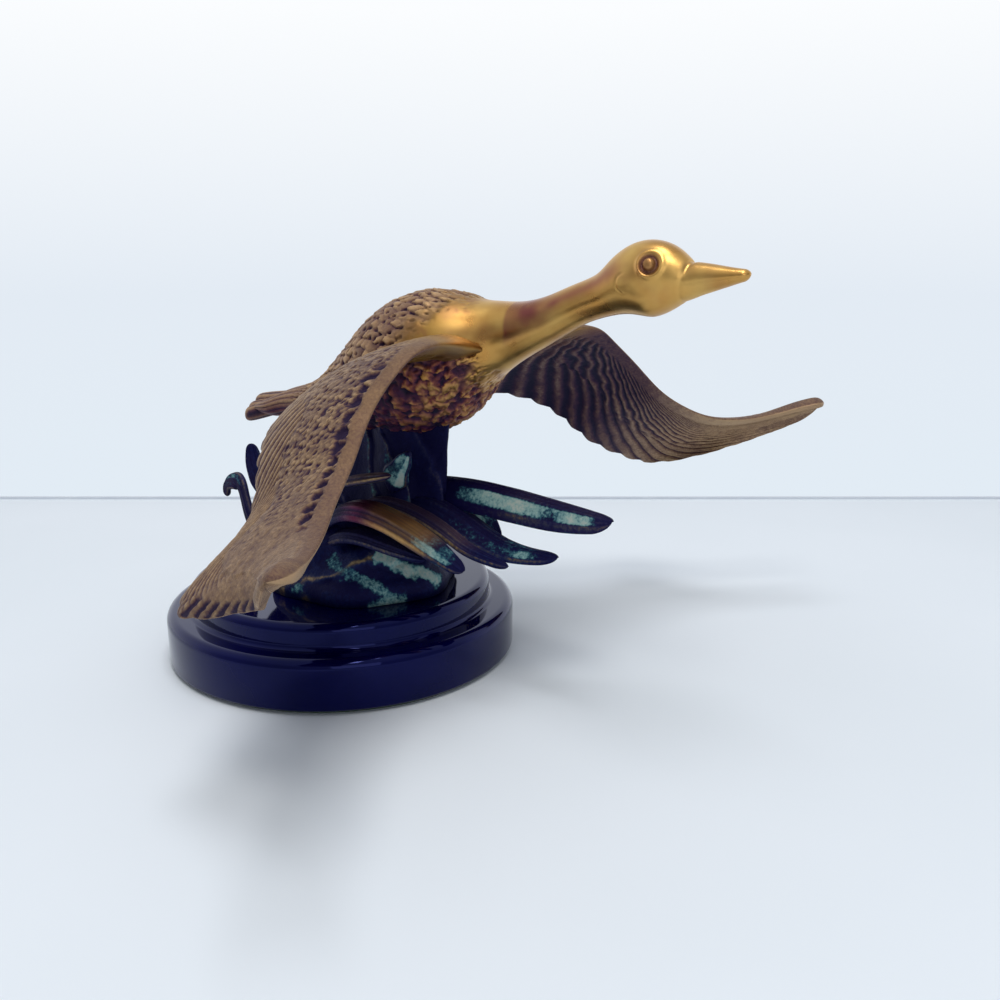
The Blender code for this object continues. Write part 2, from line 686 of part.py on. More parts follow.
def wing(name, mirrored, finish):
    # Coverts from the leading edge to the step, then flight feathers half a feather out of line.
    # Each feather thickens from root side to tip side and drops there on to the next one, between
    # a pair of stations set close together.
    places = [0.0, 1.0]
    for number in range(WING_FEATHERS):
        places += [(number + place) / WING_FEATHERS for place in (0.03, 0.47, 0.53, 0.97)]
    step = COVERT_SHARE
    chords = (0, 0.035, 0.11, 0.4 * step, 0.7 * step, step, step + 0.03, 0.82, 0.95, 1)
    rings = []
    for across in sorted(places):
        tip = math.sqrt(max(0.0, 1 - max(0.0, (across - 0.93) / 0.07) ** 2)) * 0.75 + 0.25
        upper, lower = [], []
        for chord in chords:
            point, normal, thick = wing_surface(across, chord)
            nose = min(1.0, math.sqrt(chord / 0.11)) * min(1.0, 0.35 + math.sqrt((1 - chord) / 0.16))
            upper.append(point + normal * thick * nose * tip / 2)
            lower.append(point - normal * thick * nose * tip / 2)
        ring = np.array(upper + lower[:0:-1])
        if mirrored:
            ring[:, 1] = 2 * BODY_LEFT - ring[:, 1]
        rings.append(ring)
    return loft(name, rings, finish, smooth_angle=30)


def main():
    clear_scene()
    felt = material("green felt", (0.02, 0.05, 0.03), 0.95, 0.0)
    black = material("polished black base", (0.006, 0.006, 0.02), 0.12, 0.0)
    steel = material("zinc plated steel", (0.55, 0.55, 0.56), 0.35, 1.0)
    reed_bronze = material("dark green bronze", (0.03, 0.07, 0.08), 0.5, 0.8)
    feather_bronze = material("brown bronze", (0.2, 0.13, 0.07), 0.45, 0.9)
    polished = material("polished brass", (0.75, 0.48, 0.12), 0.2, 1.0)

    felt_pad(felt)
    plinth = base_plinth(black)
    mound = loft("reed_mound", mound_rings(0.0), reed_bronze, smooth_angle=60)
    base_fixings(plinth, mound, steel)

    body = goose_body(feather_bronze)
    head = head_and_neck(polished)
    body_room = loft("body room", body_rings(GAP, 0.0))
    mound_room = loft("mound room", mound_rings(GAP))
    stalk = loft("reed_stalk", stalk_rings(), reed_bronze)
    cut(stalk, mound_room)
    cut(stalk, body_room)

    belly = (BODY_FORWARD, BODY_LEFT)
    half = BELLY_PIN_LENGTH / 2
    belly_height = BODY_LIFT - BODY_HEIGHT / 2
    ends = [(*belly, belly_height - half), (*belly, belly_height + half)]
    pin("belly_pin", *ends, BELLY_PIN_DIAMETER, [stalk, body, mound], steel)

    joint = joint_forward()
    reach = NECK_PIN_LENGTH / 2
    ends = [(forward, BODY_LEFT, spine_at(forward)[0]) for forward in (joint - reach, joint + reach)]
    pin("neck_pin", *ends, NECK_PIN_DIAMETER, [body, head], steel)

    for side in ("left", "right"):
        half_wing = wing("wing_" + side, side == "right", feather_bronze)
        cut(half_wing, body_room)
        root = wing_surface(0.05, 0.3)[0]
        outwards = unit(wing_surface(0.16, 0.3)[0] - root)
        inner = root - outwards * WING_PIN_SETBACK
        ends = [inner, inner + outwards * WING_PIN_LENGTH]
        if side == "right":
            ends = [np.array([p[0], 2 * BODY_LEFT - p[1], p[2]]) for p in ends]
        pin("wing_pin_" + side, *ends, WING_PIN_DIAMETER, [body, half_wing], steel)

    stalk_room = loft("stalk room", [grown(ring, GAP) for ring in stalk_rings()])
    rooms = [stalk_room, body_room]
    for name, shape in REEDS.items():
        reed = loft(name, reed_rings(shape, 0.0), reed_bronze, smooth_angle=50)
        cut(reed, mound_room)
        for room in rooms:
            if boxes_meet(reed, room):
                cut(reed, room)
        rooms.append(loft(name + " room", reed_rings(shape, GAP)))
        rooms[-1].hide_render = True
        rooms[-1].display_type = "WIRE"


def boxes_meet(item, other):
    first = np.array([corner[:] for corner in item.bound_box])
    second = np.array([corner[:] for corner in other.bound_box])
    apart = np.maximum(first.min(axis=0) - second.max(axis=0), second.min(axis=0) - first.max(axis=0))
    return apart.max() < 0


def grown(ring, grow):
    # A level ring moved outwards from its own centre.
    centre = ring.mean(axis=0)
    away = ring - centre
    return ring + away / np.linalg.norm(away, axis=1)[:, None] * grow


main()
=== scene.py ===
import math

import bpy
import numpy as np
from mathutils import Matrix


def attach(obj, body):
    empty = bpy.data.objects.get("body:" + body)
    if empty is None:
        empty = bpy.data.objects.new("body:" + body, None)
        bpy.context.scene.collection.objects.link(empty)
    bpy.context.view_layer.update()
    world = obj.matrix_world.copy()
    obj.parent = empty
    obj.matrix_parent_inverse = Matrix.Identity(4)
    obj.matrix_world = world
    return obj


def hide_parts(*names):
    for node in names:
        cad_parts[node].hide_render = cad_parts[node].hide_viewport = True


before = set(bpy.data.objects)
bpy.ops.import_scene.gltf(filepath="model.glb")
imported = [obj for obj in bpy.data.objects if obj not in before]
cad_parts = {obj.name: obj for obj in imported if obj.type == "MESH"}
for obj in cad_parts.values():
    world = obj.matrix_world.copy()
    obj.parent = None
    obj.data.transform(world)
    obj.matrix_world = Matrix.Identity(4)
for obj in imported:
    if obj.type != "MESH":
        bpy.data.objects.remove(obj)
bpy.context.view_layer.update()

# Cast brass goose over a clump of bronze reeds on a lacquered base.
# Sizes are in millimetres and turned to metres where a mesh is made.
# The goose flies along +X with its left wing on +Y, as in the frame.

mm = 0.001
skin = 0.1  # how far the finer surfaces lie under the plain ones, in mm


def linear(hexColour):  # sRGB hex to linear, as shaders want it
    parts = [int(hexColour[i : i + 2], 16) / 255 for i in (1, 3, 5)]
    return [*(c / 12.92 if c <= 0.04045 else ((c + 0.055) / 1.055) ** 2.4 for c in parts), 1.0]


def blendStep(low, high, x):
    t = np.clip((x - low) / (high - low), 0, 1)
    return t * t * (3 - 2 * t)


def hump(x, middle, width):  # 1 at the middle, falling away smoothly on both sides
    return np.exp(-(((x - middle) / width) ** 2))


def cellValue(cells, seed):  # the same -1 to 1 value each run for a whole-numbered cell
    mixed = cells @ np.array([127.1, 311.7, 74.7][: cells.shape[-1]]) + seed * 17.3
    return 2 * np.modf(np.abs(np.sin(mixed) * 43758.5453))[0] - 1


def softNoise(points, cell, seed=0):
    scaled = points / cell
    base = np.floor(scaled)
    f = scaled - base
    f = f * f * (3 - 2 * f)
    total = 0
    for corner in np.ndindex(2, 2, 2):
        share = np.prod(np.where(np.array(corner) == 1, f, 1 - f), axis=-1)
        total = total + share * cellValue(base + corner, seed)
    return total


def layeredNoise(points, cell, seed=0, layers=3):
    return sum(softNoise(points, cell / 2**k, seed + k) / 2**k for k in range(layers)) / 1.6


def naturalCurve(rows, fractions):  # natural cubic through evenly numbered rows
    rows = np.array(rows, float)
    count = len(rows)
    system = np.eye(count)
    bends = np.zeros_like(rows)
    for i in range(1, count - 1):
        system[i, i - 1 : i + 2] = 1, 4, 1
        bends[i] = 6 * (rows[i + 1] - 2 * rows[i] + rows[i - 1])
    bends = np.linalg.solve(system, bends)
    places = np.asarray(fractions, float) * (count - 1)
    i = np.clip(places.astype(int), 0, count - 2)
    t = (places - i)[:, None]
    u = 1 - t
    return rows[i] * u + rows[i + 1] * t + (bends[i] * (u**3 - u) + bends[i + 1] * (t**3 - t)) / 6


def unit(v):
    v = np.asarray(v, float)
    return v / np.linalg.norm(v, axis=-1, keepdims=True)


def gridNormals(grid):  # ways out of a grid of closed rings, pointing away from each ring's middle
    along = np.gradient(grid, axis=0)
    around = np.roll(grid, -1, 1) - np.roll(grid, 1, 1)
    normals = unit(np.cross(along, around) + 1e-12)
    away = grid - grid.mean(axis=1, keepdims=True)
    return normals * (1 if (normals * away).sum() > 0 else -1)


def wrapped(upper, lower, last=None):  # one ring per row: over the top and back underneath
    return np.concatenate([upper, lower[:, last:0:-1]], axis=1)


def ringMesh(name, grid, marks=None, bored=False, sharp=None):
    # Rings of equally many points joined in order, with a fan at each end or the ends joined.
    # Marks are values per point for the materials. Edges over the sharp angle stay hard.
    rings, count = grid.shape[:2]
    points = grid.reshape(-1, 3)
    r = np.arange(rings if bored else rings - 1)[:, None]
    k = np.arange(count)[None, :]
    low, high, after = r * count, (r + 1) % rings * count, (k + 1) % count
    quads = np.stack([low + k, low + after, high + after, high + k], -1).reshape(-1, 4)
    fans = np.zeros((0, 3), int)
    if not bored:
        points = np.vstack([points, grid[0].mean(0), grid[-1].mean(0)])
        k, after = k[0], after[0]
        first, last = np.full(count, len(points) - 2), np.full(count, len(points) - 1)
        top = (rings - 1) * count
        fans = np.vstack([np.stack([first, after, k], -1), np.stack([last, top + k, top + after], -1)])
    corners = points[np.vstack([quads[:, :3], quads[:, [0, 2, 3]], fans])]
    if np.einsum("ij,ij->", corners[:, 0], np.cross(corners[:, 1], corners[:, 2])) < 0:
        quads, fans = quads[:, ::-1], fans[:, ::-1]
    mesh = bpy.data.meshes.new(name)
    mesh.vertices.add(len(points))
    mesh.vertices.foreach_set("co", (points * mm).ravel())
    loops = np.concatenate([quads.ravel(), fans.ravel()])
    mesh.loops.add(len(loops))
    mesh.loops.foreach_set("vertex_index", loops)
    mesh.polygons.add(len(quads) + len(fans))
    starts = np.concatenate([np.arange(len(quads)) * 4, len(quads) * 4 + np.arange(len(fans)) * 3])
    mesh.polygons.foreach_set("loop_start", starts)
    mesh.update(calc_edges=True)
    mesh.validate()
    mesh.shade_smooth()
    for mark, values in (marks or {}).items():
        values = np.broadcast_to(values, (rings, count)).ravel()
        if not bored:
            values = np.append(values, [values[:count].mean(), values[-count:].mean()])
        layer = mesh.attributes.new(mark, "FLOAT", "POINT")
        layer.data.foreach_set("value", values.astype(np.float32))
    if sharp:
        mesh.set_sharp_from_angle(angle=math.radians(sharp))
    piece = bpy.data.objects.new(name, mesh)
    bpy.context.scene.collection.objects.link(piece)
    return piece


def seat(piece, finish, slot, *nodes):  # finish, body, slot (not used) and the CAD nodes that a piece stands for
    piece.data.materials.append(finish)
    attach(piece, "root")
    if nodes:
        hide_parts(*nodes)


# Materials


def addNode(tree, kind, values=None, stops=None, **settings):
    # A node with its settings. A value that is a socket is linked, anything else is set.
    node = tree.nodes.new("ShaderNode" + kind)
    for key, value in settings.items():
        setattr(node, key, value)
    for key, value in (values or {}).items():
        if isinstance(value, bpy.types.NodeSocket):
            tree.links.new(value, node.inputs[key])
        else:
            node.inputs[key].default_value = value
    if stops:
        while len(node.color_ramp.elements) < len(stops):
            node.color_ramp.elements.new(0.5)
        for element, (place, colour) in zip(node.color_ramp.elements, stops):
            element.position = place
            element.color = linear(colour)
    return node


def newMaterial(name):
    finish = bpy.data.materials.new(name)
    finish.use_nodes = True
    tree = finish.node_tree
    return finish, tree, tree.nodes["Principled BSDF"]


def wire(tree, shader, **sockets):
    for key, source in sockets.items():
        tree.links.new(source, shader.inputs[key.replace("_", " ")])


def plainFinish(name, look):
    # One fine pattern gives the tone, and where the look says so the shine and the unevenness.
    finish, tree, shader = newMaterial(name)
    place = addNode(tree, "TexCoord").outputs["Object"]
    if "stretch" in look:
        place = addNode(tree, "Mapping", {"Vector": place, "Scale": look["stretch"]}).outputs["Vector"]
    pattern = addNode(tree, "TexNoise", {"Vector": place, **look["pattern"]}).outputs["Fac"]
    tone = addNode(tree, "ValToRGB", {"Fac": pattern}, stops=look["tones"])
    wire(tree, shader, Base_Color=tone.outputs["Color"])
    if "rough" in look:
        dust, (low, high) = pattern, look["rough"]
        if "dust" in look:
            dust = addNode(tree, "TexNoise", {"Vector": place, **look["dust"]}).outputs["Fac"]
        grade = addNode(tree, "MapRange", {"Value": dust, "To Min": low, "To Max": high})
        wire(tree, shader, Roughness=grade.outputs["Result"])
    if "bump" in look:
        strength, deep = look["bump"]
        bump = addNode(tree, "Bump", {"Height": pattern, "Strength": strength, "Distance": deep})
        wire(tree, shader, Normal=bump.outputs["Normal"])
    for socket, value in look["sockets"].items():
        shader.inputs[socket].default_value = value
    return finish


# Turned wood under black gloss lacquer: a hard clear shine. The brush left faint swells about
# 17 mm apart. Dust in the coat varies the shine, drawn 1 mm apart because the real is too fine.
lacquerLook = {
    "pattern": {"Scale": 60, "Detail": 2}, "dust": {"Scale": 900, "Detail": 4, "Roughness": 0.7},
    "tones": [(0.35, "#000028"), (0.65, "#020232")], "rough": (0.03, 0.07), "bump": (0.05, 0.0004),
    "sockets": {"IOR": 1.45, "Specular Tint": linear("#8894ff")},
}
# Pressed wool felt, dyed green: matt, with short fibres that catch a little light. A fibre is
# 0.02 mm thick, so the tufts are drawn at 0.6 mm to show.
feltLook = {
    "pattern": {"Scale": 1800, "Detail": 5, "Distortion": 1.5}, "bump": (0.6, 0.0003),
    "tones": [(0.3, "#0c2417"), (0.7, "#1f4a30")], "sockets": {"Roughness": 0.95, "Sheen Weight": 0.4},
}
# Zinc plated steel: dull silver with a faint yellow pass and fine lines from the tools, 0.2 mm
# apart and up to 2.5 mm long.
steelLook = {
    "pattern": {"Scale": 400, "Detail": 3}, "stretch": (1, 1, 12), "rough": (0.25, 0.5),
    "tones": [(0.3, "#9c9a92"), (0.7, "#c4c3be")], "sockets": {"Metallic": 1.0},
}


def castMetal(name, look):
    # Cast brass or bronze. The relief mark gives dark patina in the hollows and rubbed metal on
    # the high places. The darkening mark lays painted shading and painted reflection on some parts
    # and real staining on others. Green lays verdigris over it, polish takes the patina off,
    # and buffed brings the bare metal to a brighter shine.
    finish, tree, shader = newMaterial(name)
    place = addNode(tree, "TexCoord").outputs["Object"]
    relief, polish, green, shadeAndStainMark, buffed = (
        addNode(tree, "Attribute", attribute_name=mark).outputs["Fac"]
        for mark in ("relief", "polish", "green", "shadeAndStainMark", "buffed")
    )
    blotch, grit = (
        addNode(tree, "TexNoise", {
            "Vector": place, "Scale": 1000 / size, "Detail": detail, "Roughness": rough,
        }).outputs["Fac"]
        for size, detail, rough in ((look["blotch"], 3, 0.5), (look["grit"], 5, 0.65))
    )
    wave = addNode(tree, "Math", {0: grit, 1: -0.5}, operation="ADD").outputs[0]
    worn, speck = (
        addNode(tree, "Math", {0: wave, 1: reach, 2: level}, operation="MULTIPLY_ADD").outputs[0]
        for reach, level in ((look["gritReach"], relief), (look["speckle"], green))
    )
    tones = {
        part: addNode(tree, "ValToRGB", {"Fac": by}, stops=look[part]).outputs["Color"]
        for part, by in (("patina", worn), ("deep", worn), ("verdigris", speck),
                         ("blotches", blotch), ("bare", blotch), ("buffed", blotch))
    }
    grades = {
        part: addNode(tree, "MapRange", {
            "Value": by, "From Min": start, "From Max": end, "To Min": low, "To Max": high,
        }).outputs["Result"]
        for part, by, start, end, low, high in (
            ("crust", speck, 0.38, 0.6, 0, 1),
            ("smear", blotch, 0.3, 0.7, look["bareRough"] * 0.75, look["bareRough"] * 1.3),
            ("gloss", buffed, 0, 1, 1, look["buffedShare"]),
            ("dull", relief, 0, 1, 0.7, look["rough"]),
            ("rubbed", worn, 0.3, 0.9, look["metalLow"], look["metalHigh"]),
            ("grain", polish, 0, 1, look["bump"], 0.04),
        )
    }
    crust, bare, colour = grades["crust"], tones["bare"], tones["patina"]
    for share, over in ((buffed, tones["buffed"]), (shadeAndStainMark, linear(look["stainAndShade"]))):
        bare = addNode(tree, "Mix", {"Factor": share, 6: bare, 7: over}, data_type="RGBA").outputs[2]
    for share, over, way in (
        (shadeAndStainMark, tones["deep"], "MIX"), (0.5, tones["blotches"], "SOFT_LIGHT"),
        (crust, tones["verdigris"], "MIX"), (polish, bare, "MIX"),
    ):
        sockets = {"Factor": share, 6: colour, 7: over}
        colour = addNode(tree, "Mix", sockets, data_type="RGBA", blend_type=way).outputs[2]
    smear = addNode(tree, "Math", {0: grades["smear"], 1: grades["gloss"]}, operation="MULTIPLY").outputs[0]
    rough, metal = grades["dull"], grades["rubbed"]
    for share, overRough, overMetal in ((polish, smear, 1.0), (crust, 0.85, 0.0)):
        rough = addNode(tree, "Mix", {"Factor": share, "A": rough, "B": overRough}).outputs[0]
        metal = addNode(tree, "Mix", {"Factor": share, "A": metal, "B": overMetal}).outputs[0]
    bump = addNode(tree, "Bump", {"Height": grit, "Strength": grades["grain"], "Distance": 0.0005})
    shader.inputs["Specular IOR Level"].default_value = look["glint"]  # patina is duller than bare metal
    wire(tree, shader, Base_Color=colour, Roughness=rough, Metallic=metal, Normal=bump.outputs["Normal"])
    return finish


# Blotches of patina and the grit of the mould, in mm. Real grit is about 0.3 mm, too fine to
# show, so it is drawn at 0.75 to 1.1 mm.
plumageLook = {
    "blotch": 13.0, "grit": 0.9, "gritReach": 0.4, "bump": 0.35, "rough": 0.45, "bareRough": 0.46,
    "metalLow": 0.1, "metalHigh": 0.7, "speckle": 0.6, "glint": 0.3,
    "patina": [(0.10, "#2a0c36"), (0.30, "#5d3a42"), (0.52, "#93745c"), (0.80, "#c3a37c")],
    "deep": [(0.15, "#12042e"), (0.46, "#481640"), (0.70, "#8a4e46"), (0.95, "#d0a25e")],
    "blotches": [(0.35, "#6f6a70"), (0.65, "#8f8a78")],
    "verdigris": [(0.40, "#3c3a48"), (0.65, "#7c8078"), (0.95, "#bcc4ba")],
    # the second colour below darkens bare metal where the neck's dark reflections are painted, and in patches
    # on the shoulder and the wing root
    "bare": [(0.3, "#8e6c36"), (0.7, "#b08c48")], "stainAndShade": "#824a44",
    "buffed": [(0.3, "#bc8a48"), (0.7, "#d8b268")], "buffedShare": 0.72,
}
wingLook = {
    **plumageLook, "grit": 0.75, "gritReach": 0.6, "bump": 0.6,
    "patina": [(0.10, "#240a38"), (0.32, "#543640"), (0.54, "#876c56"), (0.88, "#bca07c")],
    "deep": [(0.10, "#0c0438"), (0.36, "#361442"), (0.60, "#664852"), (0.90, "#a48e7e")],
}
reedLook = {
    "blotch": 14.0, "grit": 1.1, "gritReach": 0.9, "bump": 0.8, "rough": 0.4, "bareRough": 0.35,
    "metalLow": 0.1, "metalHigh": 0.7, "speckle": 0.9, "glint": 0.14,
    "patina": [
        (0.30, "#060540"), (0.50, "#132054"), (0.68, "#40445c"), (0.85, "#7e6a58"), (1.0, "#b09a70"),
    ],
    "deep": [(0.3, "#03023a"), (0.6, "#0f0d48"), (0.85, "#2e3054"), (1.0, "#5a6070")],
    "blotches": [(0.35, "#707080"), (0.65, "#868c88")],
    "verdigris": [(0.38, "#163c54"), (0.56, "#3a6a76"), (0.76, "#84a8a6"), (0.98, "#acb8b0")],
    # the second colour below is the reeds' real wine red staining
    "bare": [(0.3, "#a2683c"), (0.7, "#d0a462")], "stainAndShade": "#5c1832",
    "buffed": [(0.3, "#a2683c"), (0.7, "#d0a462")], "buffedShare": 1.0,
}


# Base and felt

base = {
    "feltThickness": 1.2, "feltInset": 2.0, "radius": 57.5, "height": 23.6, "footRounding": 3.0,
    "stepHeight": 7.8, "stepSetback": 8.1, "stepRounding": 2.6, "coveWidth": 1.6, "footChamfer": 0.9,
    "boreRadius": 10.0, "roof": 10.2, "studHole": 3.3, "sides": 288, "arcSteps": 9,
}
baseTop = base["feltThickness"] + base["height"]


def turnedRings(profile, sides):
    turn = np.linspace(0, 2 * math.pi, sides, endpoint=False)
    profile = np.array(profile, float)
    x = profile[:, :1] * np.cos(turn)
    y = profile[:, :1] * np.sin(turn)
    return np.stack([x, y, np.broadcast_to(profile[:, 1:], x.shape)], -1)


def arc(centreRadius, centreHeight, radius, first, last, steps):
    for turn in np.radians(np.linspace(first, last, steps)):
        yield centreRadius + radius * math.cos(turn), centreHeight + radius * math.sin(turn)


def makePlinth(finish):
    steps = base["arcSteps"]
    felt = base["feltThickness"]
    footTop = baseTop - base["stepHeight"]
    stepRadius = base["radius"] - base["stepSetback"]
    cove, chamfer = base["coveWidth"], base["footChamfer"]
    rounding, upper = base["footRounding"], base["stepRounding"]
    edge = base["radius"] - chamfer
    profile = [(base["studHole"], baseTop), (base["studHole"], base["roof"])]
    profile += [(base["boreRadius"], base["roof"]), (base["boreRadius"], felt), (edge - 0.01, felt)]
    profile += arc(edge, felt + chamfer, chamfer, -90, 0, 5)
    profile += arc(base["radius"] - rounding, footTop - rounding, rounding, 0, 90, steps)
    profile += arc(stepRadius + cove, footTop + cove, cove, 270, 180, steps)
    profile += arc(stepRadius - upper, baseTop - upper, upper, 0, 90, steps)
    # a point close on each side of a hard corner keeps the smooth shading from rounding it
    profile += [(stepRadius - upper - 0.3, baseTop), (base["studHole"] + 0.05, baseTop)]
    plinth = ringMesh("turned_plinth", turnedRings(profile, base["sides"]), bored=True, sharp=50)
    seat(plinth, finish, "base_lacquer", "base_plinth")


def makeFelt(finish):
    radius, thick = base["radius"] - base["feltInset"], base["feltThickness"]
    profile = [(1, 0), (radius - 0.3, 0), (radius, 0.3), (radius, thick - 0.35), (radius - 0.3, thick - 0.1)]
    rings = turnedRings(profile + [(1, thick - 0.1)], base["sides"])
    fray = layeredNoise(rings, 1.3, seed=4)
    rings[..., :2] *= (1 - np.clip(fray, 0, 1) * 0.004)[..., None]
    seat(ringMesh("felt_disc", rings), finish, "felt", "felt_pad")


# Mound, stalk and reeds

mound = {
    "radius": 31.5, "height": 25.0, "forward": 7.0, "left": 2.0, "kerb": 3.0, "ribHeight": 1.8,
    "ribs": 7, "rings": 190, "sides": 400, "foldHeight": 1.2, "folds": 2, "flow": 15.0, "lump": 0.6,
}
stalk = {
    "length": 39.0, "width": 17.0, "setback": 8.5, "leanBack": 1.0, "leanRight": 4.0, "levels": 130,
    "sides": 220, "blades": 9, "twist": 1.6, "groove": 1.4, "heel": 3.6,
}
# where verdigris lies on the mound: places along a smear, how wide it is and how thick
moundSmears = [
    ([(17, -21, 37.5), (23.5, -21.5, 36), (30, -18.5, 33.3)], 2.6, 0.54),
    ([(30, -18.5, 33.3), (35, -13.6, 28.2), (36.9, -10, 25.3)], 2.2, 0.62),
    ([(36.9, -10, 25.5), (32.2, -18.7, 25.1)], 2.2, 0.74), ([(8, -27.8, 28), (10.5, -27.5, 29)], 1.6, 0.6),
    ([(29.8, -10.6, 39.2), (34.7, -6, 35.5), (39.6, 0.9, 31)], 2.8, 0.88),
    ([(-16, 10, 36), (-10, 18, 34), (-4, 24, 33)], 3.5, 0.62), ([(8, 30, 32), (18, 28, 31)], 3.5, 0.7),
]


def makeMound(finish):
    turn = np.linspace(0, 2 * math.pi, mound["sides"], endpoint=False)
    outline = 1 + 0.05 * np.cos(2 * turn + 0.6) + 0.03 * np.cos(mound["ribs"] * turn)
    reach = np.concatenate([[1.0], np.linspace(1, 0.04, mound["rings"])])[:, None]
    radius = mound["radius"] * outline * reach
    rise = mound["kerb"] + (mound["height"] - mound["kerb"]) * (1 - np.minimum(reach, 1) ** 2.2) ** 0.7
    swirl = mound["ribs"] * (turn + 1.1 * reach)
    ribs = mound["ribHeight"] * np.sin(swirl) * 4 * reach * (1 - reach) * (1 - (1 - reach) ** 4)
    x, y = mound["forward"] + radius * np.cos(turn), mound["left"] + radius * np.sin(turn)
    height = baseTop + 0.3 + rise + ribs
    height[0] = baseTop + 0.3
    grid = np.stack([x, y, height], -1)
    # wavy layers that flow down and round it, each ending in a rounded edge over the next
    bend, lumps = layeredNoise(grid, 13, seed=2), layeredNoise(grid, 5.5, seed=9)
    layer = (mound["folds"] * turn + mound["flow"] * reach) / (2 * math.pi) + 0.4 * bend + 0.03 * lumps
    share = layer - np.floor(layer)
    fold = np.clip(share / 0.86, 0, 1) ** 0.8 * blendStep(1.0, 0.88, share)
    ragged, streaks = layeredNoise(grid, 8, seed=31), layeredNoise(grid, 3.0, seed=33)
    edge = hump(share, 0.84, 0.05) * blendStep(-0.5, 0.4, ragged)
    relief = 0.26 + 0.24 * fold + 0.2 * lumps + 0.6 * edge
    green = np.clip(0.14 + 0.16 * lumps + 0.1 * fold, 0, 0.36)
    for stops, spread, thick in moundSmears:
        places = naturalCurve(stops, np.linspace(0, 1, 14))
        away = np.min([np.linalg.norm(grid - place, axis=-1) for place in places], axis=0) / spread
        cover = blendStep(1.8, 0.2, away * (1 + 0.5 * streaks) + 0.6 * ragged + 0.4 * streaks - 0.4 * edge)
        green = np.maximum(green, thick * cover)
    inner = blendStep(0.999, 0.93, reach)
    depth = mound["foldHeight"] * (fold - 1) + mound["lump"] * (lumps - 1)
    grid = grid + gridNormals(grid) * (depth * inner)[..., None]
    marks = {"relief": np.clip(relief, 0, 1), "green": green, "shadeAndStainMark": 0.15, "polish": 0}
    seat(ringMesh("rocky_mound", grid, marks), finish, "mound_patina", "reed_mound")


def makeStalk(finish):
    turn = np.linspace(0, 2 * math.pi, stalk["sides"], endpoint=False)
    rise = np.linspace(0, 1, stalk["levels"])[:, None]
    foot, top = baseTop + mound["height"] * 0.5, goose["lift"]
    waist = 1 + 0.55 * (1 - rise) ** 2 + 0.12 * rise
    lobes = 1 + 0.13 * np.cos(5 * turn + 1.5 * rise)
    x = goose["forward"] - stalk["setback"] - stalk["leanBack"] * (1 - rise)
    x = x + stalk["length"] / 2 * lobes * np.cos(turn)
    x = x - stalk["heel"] * blendStep(-0.5, -0.9, np.cos(turn)) * blendStep(0.65, 0.2, rise)
    y = goose["left"] - stalk["leanRight"] * (1 - rise) + stalk["width"] / 2 * waist * lobes * np.sin(turn)
    grid = np.stack([x, y, np.broadcast_to(foot + (top - foot) * rise, x.shape)], -1)
    # blades laid one over the next, slanting up and outwards, each with a rounded edge
    bend = layeredNoise(grid, 14.0, seed=6)
    phase = stalk["blades"] * turn / (2 * math.pi) + stalk["twist"] * rise**1.4 + 0.55 * bend
    share = phase - np.floor(phase)
    own = cellValue(np.stack([np.floor(phase), np.zeros_like(share)], -1), 3)
    edge = hump(share, 0.93, 0.05)
    blade = np.clip(share / 0.94, 0, 1) ** 1.5 * blendStep(1.0, 0.95, share)
    rough = layeredNoise(grid, 3.5, seed=5)
    depth = stalk["groove"] * (blade - 1) * (0.7 + 0.3 * own) + (rough - 1) * 0.25
    depth = depth * (1 - 0.8 * blendStep(-0.6, -0.85, np.cos(turn)))
    grid = grid + gridNormals(grid) * depth[..., None]
    # painted highlights on the blades' edges, and painted shading: the whole bundle takes the darker patina,
    # as it stands under the goose
    relief = np.clip(0.18 + 0.3 * blade + 0.55 * edge * (0.6 + 0.4 * own) + 0.18 * rough, 0, 1)
    green = np.clip(0.2 + 0.3 * own + 0.3 * rough, 0, 1) * blade
    marks = {"relief": relief, "green": green, "shadeAndStainMark": 0.75, "polish": 0}
    seat(ringMesh("stem_bundle", grid, marks), finish, "mound_patina", "reed_stalk")


